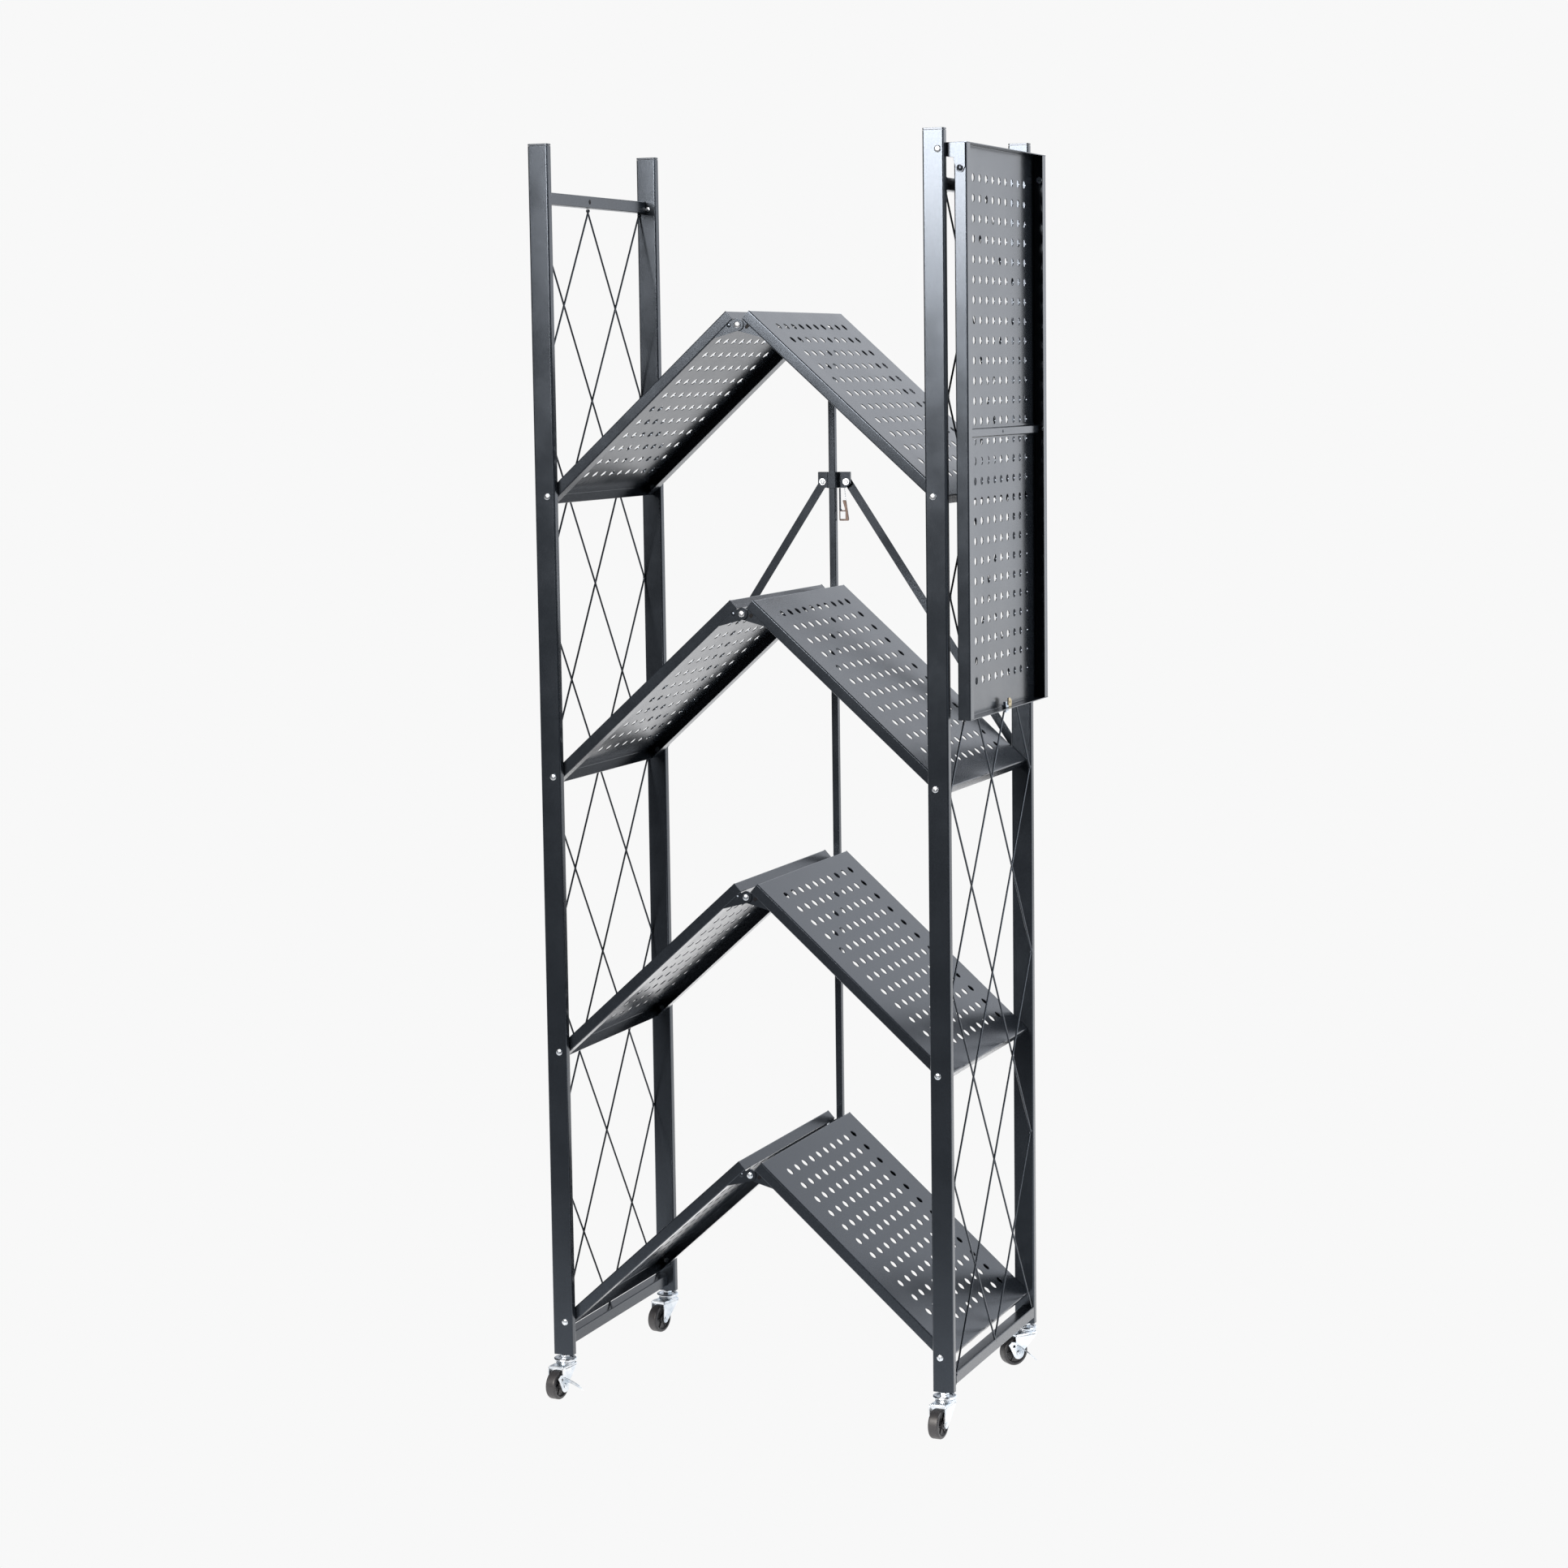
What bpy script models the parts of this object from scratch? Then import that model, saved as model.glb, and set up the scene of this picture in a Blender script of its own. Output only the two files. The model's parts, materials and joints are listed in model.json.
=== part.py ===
"""Folding storage rack on swivel casters.

Two welded side frames stand on casters.  Four shelves join them, and each shelf is a
pair of perforated trays hinged together in the middle, so that the frames can be pushed
towards each other.  A fifth, one-piece shelf hangs outside the right frame and swings up
and over to lie on the top rails.  A bar behind the middle hinges guides a collar, and two
arms join the collar to the rear posts.

Metres, +Z up, +X to the right, the front towards -Y.
"""
import math

import bmesh
import bpy
from mathutils import Matrix, Vector

# Side frames
POST_WIDTH = 0.027
POST_DEPTH = 0.012
POST_WALL = 0.0012
POST_LENGTH = 1.543
RACK_DEPTH = 0.346
RAIL_WIDTH = 0.013
RAIL_HEIGHT = 0.015
RAIL_WALL = 0.0012
TOP_RAIL_DROP = 0.058
BOTTOM_RAIL_RISE = 0.0025
CAP_THICKNESS = 0.0025
CAP_PLUG = 0.010
WIRE_RADIUS = 0.00125
WIRE_INSET = 0.0021
WIRE_STEPS = 6

# Shelf linkage
SHELF_COUNT = 4
SHELF_PITCH = 0.3544
FIRST_PIVOT_RISE = 0.0434
PIVOT_INSET = 0.0035
LINK = 0.3305
MID_PIN_DROP = 0.0155
LEAF_TILT = math.radians(42.0)
SHEET = 0.001
LEAF_TOP_RISE = 0.0075
LEAF_FLANGE = 0.014
LEAF_LIP = 0.014
LEAF_OVERHANG = 0.008
LEAF_SIDE_GAP = 0.0005
LEAF_END_GAP = 0.0002
EAR_THICKNESS = 0.0016
EAR_NOSE = 0.0075
EAR_REACH = 0.033
EAR_TUCK = 0.0002
EAR_SPLIT = 0.0004
PIN_RADIUS = 0.003
PIN_HEAD_RADIUS = 0.0042
PIN_HEAD_THICKNESS = 0.0022
RIVET_RADIUS = 0.0026
RIVET_CLEARANCE = 0.0004
HEAD_SEAT = 0.0006
DOME_HEIGHT = 0.0021

# Perforation, drawn with a wider pitch than the real sheet has
HOLE_RADIUS = 0.0045
HOLE_SIDES = 6
ROUND_SIDES = 8
HOLE_COLUMNS = 3
COLUMN_PITCH = 0.075
LEAF_HOLE_ROWS = 4
LEAF_ROW_PITCH = 0.060
LEAF_FIRST_ROW = 0.072

# Top shelf
TOP_PIVOT_DROP = 0.025
TOP_PIVOT_OFFSET = 0.006
TOP_SHEET_OFFSET = 0.0155
TOP_FLANGE = 0.016
TOP_LIP = 0.014
TOP_LENGTH = 0.691
TOP_OVERHANG = 0.0084
TOP_HOLE_ROWS = 8
TOP_ROW_PITCH = 0.080
TOP_FIRST_ROW = 0.065
BRACKET_THICKNESS = 0.0015
BRACKET_RADIUS = 0.008
BRACKET_BOLT_OUT = 0.0235
BRACKET_BOLT_DROP = 0.0226
STIFFENER_HEIGHT = 0.0075
STIFFENER_DEPTH = 0.008

# Brace
BAR_SIZE = 0.009
BAR_WALL = 0.001
BAR_END = 0.010
BAR_GAP = 0.0005
COLLAR_WIDTH = 0.046
COLLAR_HEIGHT = 0.021
COLLAR_PLATE = 0.0014
SLEEVE_WALL = 0.0013
COLLAR_CLEARANCE = 0.0004
COLLAR_BOLT_SPREAD = 0.0165
COLLAR_BOLT_DROP = 0.0025
ARM_WIDTH = 0.011
ARM_THICKNESS = 0.0015
ARM_LENGTH = 0.4330
TRIGGER_LENGTH = 0.043
TRIGGER_STRIP = 0.0022

# Casters
CASTER_HEIGHT = 0.055
WHEEL_RADIUS = 0.019
WHEEL_WIDTH = 0.014
WHEEL_SIDES = 16
AXLE_RADIUS = 0.0025
CASTER_TRAIL = 0.020
RACE_RADIUS = 0.015
RACE_TOP = 0.0505
RACE_THICKNESS = 0.004
FORK_HALF_WIDTH = 0.0115
FORK_PLATE = 0.0015
CROWN_TOP = 0.0435
CROWN_THICKNESS = 0.0035
LEVER_THICKNESS = 0.0012
HEADINGS = {
    "front_left": math.radians(-98.0),
    "rear_left": math.radians(-103.0),
    "front_right": math.radians(-95.0),
    "rear_right": math.radians(-128.0),
}
BRAKED = ("front_left", "rear_right")

GAP = 0.0003

# Sizes that follow
HALF_DEPTH = RACK_DEPTH / 2
POST_INNER = HALF_DEPTH - POST_DEPTH
POST_TOP = CASTER_HEIGHT + POST_LENGTH
PIN_LEAN = math.asin(MID_PIN_DROP / LINK)
LEAF_SPAN = LINK * math.cos(PIN_LEAN)
PIVOT_X = LINK * math.cos(LEAF_TILT - PIN_LEAN)
PIN_RISE = LINK * math.sin(LEAF_TILT - PIN_LEAN)
POST_X = PIVOT_X + PIVOT_INSET
PIVOT_Z = [
    CASTER_HEIGHT + FIRST_PIVOT_RISE + SHELF_PITCH * (SHELF_COUNT - 1 - k)
    for k in range(SHELF_COUNT)
]
LEAF_HALF = POST_INNER - LEAF_SIDE_GAP
LEAF_BOTTOM = LEAF_TOP_RISE - LEAF_FLANGE
OUTER_EAR = LEAF_HALF - SHEET + EAR_TUCK
INNER_EAR = OUTER_EAR - EAR_THICKNESS - EAR_SPLIT
TOP_HALF = POST_INNER - GAP - BRACKET_THICKNESS - GAP
TOP_PIVOT_X = POST_X + TOP_PIVOT_OFFSET
TOP_PIVOT_Z = POST_TOP - TOP_PIVOT_DROP
BAR_FRONT = POST_INNER + BAR_GAP
BAR_BACK = BAR_FRONT + BAR_SIZE
WING_FRONT = BAR_BACK + COLLAR_CLEARANCE
WING_BACK = WING_FRONT + COLLAR_PLATE
LEFT_ARM_FRONT = HALF_DEPTH + 0.0026
RIGHT_ARM_FRONT = LEFT_ARM_FRONT + ARM_THICKNESS + GAP
ARM_ANGLE = math.acos((PIVOT_X - COLLAR_BOLT_SPREAD) / ARM_LENGTH)
COLLAR_Z = PIVOT_Z[1] + ARM_LENGTH * math.sin(ARM_ANGLE) + COLLAR_BOLT_DROP


def clear_scene():
    """Remove the objects of the start-up scene."""
    for item in list(bpy.data.objects):
        bpy.data.objects.remove(item, do_unlink=True)


def make_material(name, colour, metallic, roughness):
    """Return a plain material of one finish."""
    mat = bpy.data.materials.new(name)
    mat.use_nodes = True
    shader = mat.node_tree.nodes["Principled BSDF"]
    shader.inputs["Base Color"].default_value = (*colour, 1.0)
    shader.inputs["Metallic"].default_value = metallic
    shader.inputs["Roughness"].default_value = roughness
    mat.diffuse_color = (*colour, 1.0)
    return mat


def circle(cx, cy, radius, sides, start=0.0):
    """Return the corners of a regular polygon."""
    step = 2 * math.pi / sides
    return [
        (cx + radius * math.cos(start + i * step), cy + radius * math.sin(start + i * step))
        for i in range(sides)
    ]


def rectangle(x0, x1, y0, y1):
    """Return the corners of a rectangle."""
    return [(x0, y0), (x1, y0), (x1, y1), (x0, y1)]


def on_plane(plane, p, q, depth):
    """Return a 3-D point from two in-plane coordinates and the depth across the plane."""
    if plane == "XZ":
        return Vector((p, depth, q))
    if plane == "YZ":
        return Vector((depth, p, q))
    return Vector((p, q, depth))


def prism(outline, lo, hi, plane, holes=()):
    """Return a bmesh of an outline with holes, extruded across its plane."""
    bm = bmesh.new()
    edges = []
    for loop in (outline, *holes):
        verts = [bm.verts.new(on_plane(plane, p, q, lo)) for p, q in loop]
        edges += [bm.edges.new((verts[i], verts[i - 1])) for i in range(len(verts))]
    bmesh.ops.triangle_fill(bm, use_beauty=True, use_dissolve=False, edges=edges)
    grown = bmesh.ops.extrude_face_region(bm, geom=list(bm.faces))
    moved = [item for item in grown["geom"] if isinstance(item, bmesh.types.BMVert)]
    shift = on_plane(plane, 0, 0, hi) - on_plane(plane, 0, 0, lo)
    bmesh.ops.translate(bm, vec=shift, verts=moved)
    bmesh.ops.recalc_face_normals(bm, faces=list(bm.faces))
    return bm


def block(x0, x1, y0, y1, z0, z1):
    """Return a bmesh of a plain block."""
    return prism(rectangle(x0, x1, y0, y1), z0, z1, "XY")


def turned(profile, sides, axis, centre, closed=False):
    """Return a solid of revolution from (radius, distance) pairs along an axis.

    A closed profile gives a ring with a bore, and an open one starts and ends on the axis.
    """
    bm = bmesh.new()
    rings = []
    base = Vector(centre)
    for radius, along in profile:
        if radius < 1e-9:
            spots = [(0.0, 0.0)]
        else:
            spots = circle(0, 0, radius, sides, math.pi / sides)
        ring = []
        for p, q in spots:
            offset = {"X": (along, p, q), "Y": (q, along, p), "Z": (p, q, along)}[axis]
            ring.append(bm.verts.new(base + Vector(offset)))
        rings.append(ring)
    pairs = list(zip(rings, rings[1:]))
    if closed:
        pairs.append((rings[-1], rings[0]))
    for one, two in pairs:
        for i in range(sides):
            j = (i + 1) % sides
            if len(one) == 1:
                bm.faces.new((one[0], two[i], two[j]))
            elif len(two) == 1:
                bm.faces.new((one[i], one[j], two[0]))
            else:
                bm.faces.new((one[i], one[j], two[j], two[i]))
    bmesh.ops.recalc_face_normals(bm, faces=list(bm.faces))
    return bm


def wire(points, radius, sides):
    """Return a round wire bent at each inner point of a path."""
    bm = bmesh.new()
    path = [Vector(point) for point in points]
    across = Vector((1, 0, 0))
    rings = []
    for i, point in enumerate(path):
        before = (point - path[i - 1]).normalized() if i else None
        after = (path[i + 1] - point).normalized() if i + 1 < len(path) else None
        heading = (before or after) + (after or before)
        heading.normalize()
        stretch = 1 / heading.dot(after or before)
        side = heading.cross(across)
        rings.append([
            bm.verts.new(point + across * p + side * q * stretch)
            for p, q in circle(0, 0, radius, sides)
        ])
    for one, two in zip(rings, rings[1:]):
        for i in range(sides):
            j = (i + 1) % sides
            bm.faces.new((one[i], one[j], two[j], two[i]))
    bm.faces.new(rings[0])
    bm.faces.new(rings[-1])
    bmesh.ops.recalc_face_normals(bm, faces=list(bm.faces))
    return bm


def to_object(bm, name):
    """Put a bmesh into a new object of the scene."""
    mesh = bpy.data.meshes.new(name)
    bm.to_mesh(mesh)
    bm.free()
    item = bpy.data.objects.new(name, mesh)
    bpy.context.scene.collection.objects.link(item)
    return item


def combine(base, tools, operation):
    """Return the base joined with, or cut by, each of the tools."""
    target = to_object(base, "working_base")
    helpers = [to_object(tool, "working_tool") for tool in tools]
    for helper in helpers:
        step = target.modifiers.new("step", "BOOLEAN")
        step.operation = operation
        step.solver = "EXACT"
        step.object = helper
    graph = bpy.context.evaluated_depsgraph_get()
    mesh = bpy.data.meshes.new_from_object(target.evaluated_get(graph))
    result = bmesh.new()
    result.from_mesh(mesh)
    bpy.data.meshes.remove(mesh)
    for item in (target, *helpers):
        spare = item.data
        bpy.data.objects.remove(item, do_unlink=True)
        bpy.data.meshes.remove(spare)
    return result


def join(base, *tools):
    """Return one solid made of several that overlap."""
    return combine(base, tools, "UNION")


def cut(base, *tools):
    """Return a solid with others taken out of it."""
    return combine(base, tools, "DIFFERENCE")


def finish_mesh(bm):
    """Close up tiny edges and face the mesh outwards."""
    bmesh.ops.remove_doubles(bm, verts=list(bm.verts), dist=0.00001)
    bmesh.ops.dissolve_degenerate(bm, edges=list(bm.edges), dist=0.000005)
    bmesh.ops.dissolve_limit(
        bm, angle_limit=math.radians(0.3), verts=list(bm.verts), edges=list(bm.edges)
    )
    bmesh.ops.triangulate(bm, faces=list(bm.faces))
    bmesh.ops.recalc_face_normals(bm, faces=list(bm.faces))
    return bm


def add_piece(name, bm, material, origin=(0, 0, 0)):
    """Add a piece drawn at its place in the rack, with its origin moved to a point."""
    finish_mesh(bm)
    bmesh.ops.translate(bm, vec=-Vector(origin), verts=list(bm.verts))
    item = to_object(bm, name)
    item.data.materials.append(material)
    item.location = origin
    return item


def add_copy(name, mesh, location, tilt=0.0, turn=0.0):
    """Add a piece that shares a mesh drawn about its own origin."""
    item = bpy.data.objects.new(name, mesh)
    bpy.context.scene.collection.objects.link(item)
    item.rotation_euler = (0.0, tilt, turn)
    item.location = location
    return item


def post_section(x, y, width, depth, wall, z0, z1):
    """Return an upright tube of rectangular section."""
    outer = rectangle(x - width / 2, x + width / 2, y - depth / 2, y + depth / 2)
    inner = rectangle(
        x - width / 2 + wall, x + width / 2 - wall, y - depth / 2 + wall, y + depth / 2 - wall
    )
    return prism(outer, z0, z1, "XY", [inner])


def stud(x, z, side, steps):
    """Return a turned stud across a post, given as radius and distance outwards."""
    profile = [(0.0, steps[0][1])]
    profile += steps
    profile.append((0.0, steps[-1][1]))
    return turned([(r, side * along) for r, along in profile], ROUND_SIDES, "Y", (x, 0, z))


def shelf_stud(x, z, side, spacer, shank_end):
    """Return the stud that carries a leaf's corner, with a head at each end.

    A spacer and a longer shank hold a brace arm outside the post.
    """
    inner = LEAF_HALF - SHEET - GAP
    head = PIN_HEAD_RADIUS
    steps = [
        (head, inner - PIN_HEAD_THICKNESS),
        (head, inner),
        (RIVET_RADIUS, inner),
    ]
    if spacer is None:
        steps += [
            (RIVET_RADIUS, HALF_DEPTH - HEAD_SEAT),
            (head, HALF_DEPTH - HEAD_SEAT),
            (head * 0.8, HALF_DEPTH + DOME_HEIGHT),
        ]
    else:
        steps += [
            (RIVET_RADIUS, HALF_DEPTH - HEAD_SEAT),
            (head, HALF_DEPTH - HEAD_SEAT),
            (head, spacer),
            (RIVET_RADIUS, spacer),
            (RIVET_RADIUS, shank_end),
            (head, shank_end),
            (head, shank_end + 0.0018),
        ]
    return stud(x, z, side, steps)


def top_shelf_stud(side):
    """Return the short stud on a right post that carries the top shelf's bracket."""
    plate = POST_INNER - GAP - BRACKET_THICKNESS - GAP
    steps = [
        (PIN_HEAD_RADIUS, plate - PIN_HEAD_THICKNESS),
        (PIN_HEAD_RADIUS, plate),
        (PIN_RADIUS, plate),
        (PIN_RADIUS, HALF_DEPTH - HEAD_SEAT),
        (PIN_HEAD_RADIUS, HALF_DEPTH - HEAD_SEAT),
        (PIN_HEAD_RADIUS, HALF_DEPTH + 0.0016),
    ]
    return stud(TOP_PIVOT_X, TOP_PIVOT_Z, side, steps)


def add_posts(paint, zinc, black):
    """Add the four posts with the studs fixed in them, and their caps."""
    for depth_name, side in (("front", -1), ("rear", 1)):
        for width_name, hand in (("left", -1), ("right", 1)):
            x = hand * POST_X
            y = side * (HALF_DEPTH - POST_DEPTH / 2)
            top = POST_TOP - CAP_THICKNESS - GAP
            tube = post_section(x, y, POST_WIDTH, POST_DEPTH, POST_WALL, CASTER_HEIGHT, top)
            studs = []
            for level, z in enumerate(PIVOT_Z):
                spacer = None
                shank_end = None
                if side > 0 and level == 1:
                    front = LEFT_ARM_FRONT if hand < 0 else RIGHT_ARM_FRONT
                    spacer = front - GAP
                    shank_end = front + ARM_THICKNESS + GAP
                studs.append(shelf_stud(hand * PIVOT_X, z, side, spacer, shank_end))
            if hand > 0:
                studs.append(top_shelf_stud(side))
            origin = (hand * PIVOT_X, y, PIVOT_Z[0])
            add_piece(f"{depth_name}_{width_name}_post", join(tube, *studs), paint, origin)

            plate = block(
                x - POST_WIDTH / 2, x + POST_WIDTH / 2, y - POST_DEPTH / 2, y + POST_DEPTH / 2,
                POST_TOP - CAP_THICKNESS, POST_TOP,
            )
            half_w = POST_WIDTH / 2 - POST_WALL - GAP
            half_d = POST_DEPTH / 2 - POST_WALL - GAP
            plug = block(
                x - half_w, x + half_w, y - half_d, y + half_d,
                POST_TOP - CAP_THICKNESS - CAP_PLUG, POST_TOP - CAP_THICKNESS / 2,
            )
            name = f"{depth_name}_{width_name}_cap"
            add_piece(name, join(plate, plug), black, (x, y, POST_TOP - CAP_THICKNESS))


def add_rails(paint):
    """Add the top and bottom rail of each side frame."""
    for width_name, hand in (("left", -1), ("right", 1)):
        outer_face = POST_X + POST_WIDTH / 2
        x = hand * (outer_face - RAIL_WIDTH / 2)
        for place, z1 in (
            ("top", POST_TOP - TOP_RAIL_DROP),
            ("bottom", CASTER_HEIGHT + BOTTOM_RAIL_RISE + RAIL_HEIGHT),
        ):
            half_w = RAIL_WIDTH / 2
            z0 = z1 - RAIL_HEIGHT
            outer = rectangle(x - half_w, x + half_w, z0, z1)
            inner = rectangle(
                x - half_w + RAIL_WALL, x + half_w - RAIL_WALL, z0 + RAIL_WALL, z1 - RAIL_WALL
            )
            reach = POST_INNER - GAP
            rail = prism(outer, -reach, reach, "XZ", [inner])
            if place == "top" and hand < 0:
                mid = (z0 + z1) / 2
                probe = [(0, 0), (0.003, 0), (0.003, RAIL_WIDTH * 0.7), (0, RAIL_WIDTH * 0.7)]
                rail = cut(rail, turned(probe, ROUND_SIDES, "X", (x, 0, mid)))
            add_piece(f"{width_name}_{place}_rail", rail, paint, (x, 0, (z0 + z1) / 2))


def lattice_path(start, first, x, low, step):
    """Return the corners of one zigzag wire, which goes post, middle, post and so on."""
    reach = POST_INNER - GAP - WIRE_RADIUS * 1.25
    pattern = {"mid": [0, first, 0, -first], "post": [first, 0, -first, 0]}[start]
    return [
        (x, reach * pattern[i % 4], low + i * step)
        for i in range(WIRE_STEPS + 1)
    ]


def add_lattices(paint):
    """Add the crossed wires that fill each side frame."""
    low = CASTER_HEIGHT + BOTTOM_RAIL_RISE + RAIL_HEIGHT + GAP + WIRE_RADIUS * 1.5
    high = POST_TOP - TOP_RAIL_DROP - RAIL_HEIGHT - GAP - WIRE_RADIUS * 1.5
    step = (high - low) / WIRE_STEPS
    for width_name, hand in (("left", -1), ("right", 1)):
        x = hand * (POST_X + POST_WIDTH / 2 - WIRE_INSET)
        runs = (("mid", 1, -0.0004), ("mid", -1, 0.0002), ("post", 1, -0.0001), ("post", -1, 0.0005))
        wires = [
            wire(lattice_path(start, first, x + shift, low, step), WIRE_RADIUS, 5)
            for start, first, shift in runs
        ]
        add_piece(f"{width_name}_lattice", join(*wires), paint, (x, 0, (low + high) / 2))


def ear_outline():
    """Return the outline of a hinge ear, about the outer pivot of its leaf."""
    cx = LEAF_SPAN
    cz = -MID_PIN_DROP
    start = math.radians(250)
    stop = math.radians(425)
    count = 6
    nose = [
        (
            cx + EAR_NOSE * math.cos(start + (stop - start) * i / count),
            cz + EAR_NOSE * math.sin(start + (stop - start) * i / count),
        )
        for i in range(count + 1)
    ]
    inner = LEAF_SPAN - 0.0016
    return [
        (LEAF_SPAN - EAR_REACH, LEAF_BOTTOM + 0.004),
        (LEAF_SPAN - EAR_REACH, LEAF_BOTTOM - 0.0005),
        *nose,
        (inner, cz + EAR_NOSE + 0.0004),
        (inner, LEAF_BOTTOM + 0.004),
    ]


def leaf_solid(layer):
    """Return one half shelf, about its outer pivot and running towards +X.

    Layer 0 puts its ears against the flanges and layer 1 puts them one plate further in.
    """
    x0 = -LEAF_OVERHANG
    x1 = LEAF_SPAN - LEAF_END_GAP
    top = LEAF_TOP_RISE
    bottom = LEAF_BOTTOM
    first = -COLUMN_PITCH * (HOLE_COLUMNS - 1) / 2
    holes = [
        circle(
            LEAF_FIRST_ROW + LEAF_ROW_PITCH * row,
            first + COLUMN_PITCH * column,
            HOLE_RADIUS, HOLE_SIDES,
        )
        for row in range(LEAF_HOLE_ROWS)
        for column in range(HOLE_COLUMNS)
    ]
    sheet = prism(rectangle(x0, x1, -LEAF_HALF, LEAF_HALF), top - SHEET, top, "XY", holes)
    solids = []
    for side in (-1, 1):
        outer = side * LEAF_HALF
        inner = side * (LEAF_HALF - SHEET)
        pivot_hole = circle(0, 0, RIVET_RADIUS + RIVET_CLEARANCE, ROUND_SIDES)
        solids.append(prism(
            rectangle(x0, x1, bottom, top), min(outer, inner), max(outer, inner), "XZ",
            [pivot_hole],
        ))
        edge = side * (LEAF_HALF - LEAF_LIP)
        solids.append(block(
            x0 + 0.0105, x1, min(outer, edge), max(outer, edge), bottom, bottom + SHEET
        ))
        near = side * (OUTER_EAR if layer == 0 else INNER_EAR)
        far = near - side * EAR_THICKNESS
        pin_hole = circle(LEAF_SPAN, -MID_PIN_DROP, PIN_RADIUS + GAP, ROUND_SIDES)
        solids.append(prism(ear_outline(), min(near, far), max(near, far), "XZ", [pin_hole]))
    for start in (x0, x1 - SHEET):
        solids.append(block(start, start + SHEET, -LEAF_HALF, LEAF_HALF, bottom, top))
    return join(sheet, *solids)


def add_leaves(paint):
    """Add the eight half shelves."""
    left = finish_mesh(leaf_solid(0))
    left_mesh = bpy.data.meshes.new("left_leaf")
    left.to_mesh(left_mesh)
    left.free()
    left_mesh.materials.append(paint)

    right = finish_mesh(leaf_solid(1))
    bmesh.ops.transform(right, matrix=Matrix.Scale(-1, 4, (1, 0, 0)), verts=list(right.verts))
    bmesh.ops.translate(right, vec=(LEAF_SPAN, 0, MID_PIN_DROP), verts=list(right.verts))
    bmesh.ops.recalc_face_normals(right, faces=list(right.faces))
    right_mesh = bpy.data.meshes.new("right_leaf")
    right.to_mesh(right_mesh)
    right.free()
    right_mesh.materials.append(paint)

    for level, z in enumerate(PIVOT_Z):
        number = level + 1
        add_copy(f"left_leaf_{number}", left_mesh, (-PIVOT_X, 0, z), -LEAF_TILT)
        add_copy(f"right_leaf_{number}", right_mesh, (0, 0, z + PIN_RISE), LEAF_TILT)


def add_hinge_pins(zinc):
    """Add the pins through the ears; the rear ones also carry the guide bar."""
    tail = INNER_EAR - EAR_THICKNESS - GAP
    for place, side, head in (("front", -1, OUTER_EAR + GAP), ("rear", 1, BAR_BACK + GAP)):
        steps = [
            (0.0, tail - PIN_HEAD_THICKNESS),
            (PIN_HEAD_RADIUS, tail - PIN_HEAD_THICKNESS),
            (PIN_HEAD_RADIUS, tail),
            (PIN_RADIUS, tail),
            (PIN_RADIUS, head),
            (PIN_HEAD_RADIUS, head),
            (PIN_HEAD_RADIUS * 0.8, head + 0.0020),
            (0.0, head + 0.0020),
        ]
        profile = [(radius, side * along) for radius, along in steps]
        for level, z in enumerate(PIVOT_Z):
            centre = (0, 0, z + PIN_RISE)
            pin = turned(profile, ROUND_SIDES, "Y", centre)
            add_piece(f"{place}_hinge_pin_{level + 1}", pin, zinc, centre)


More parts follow.
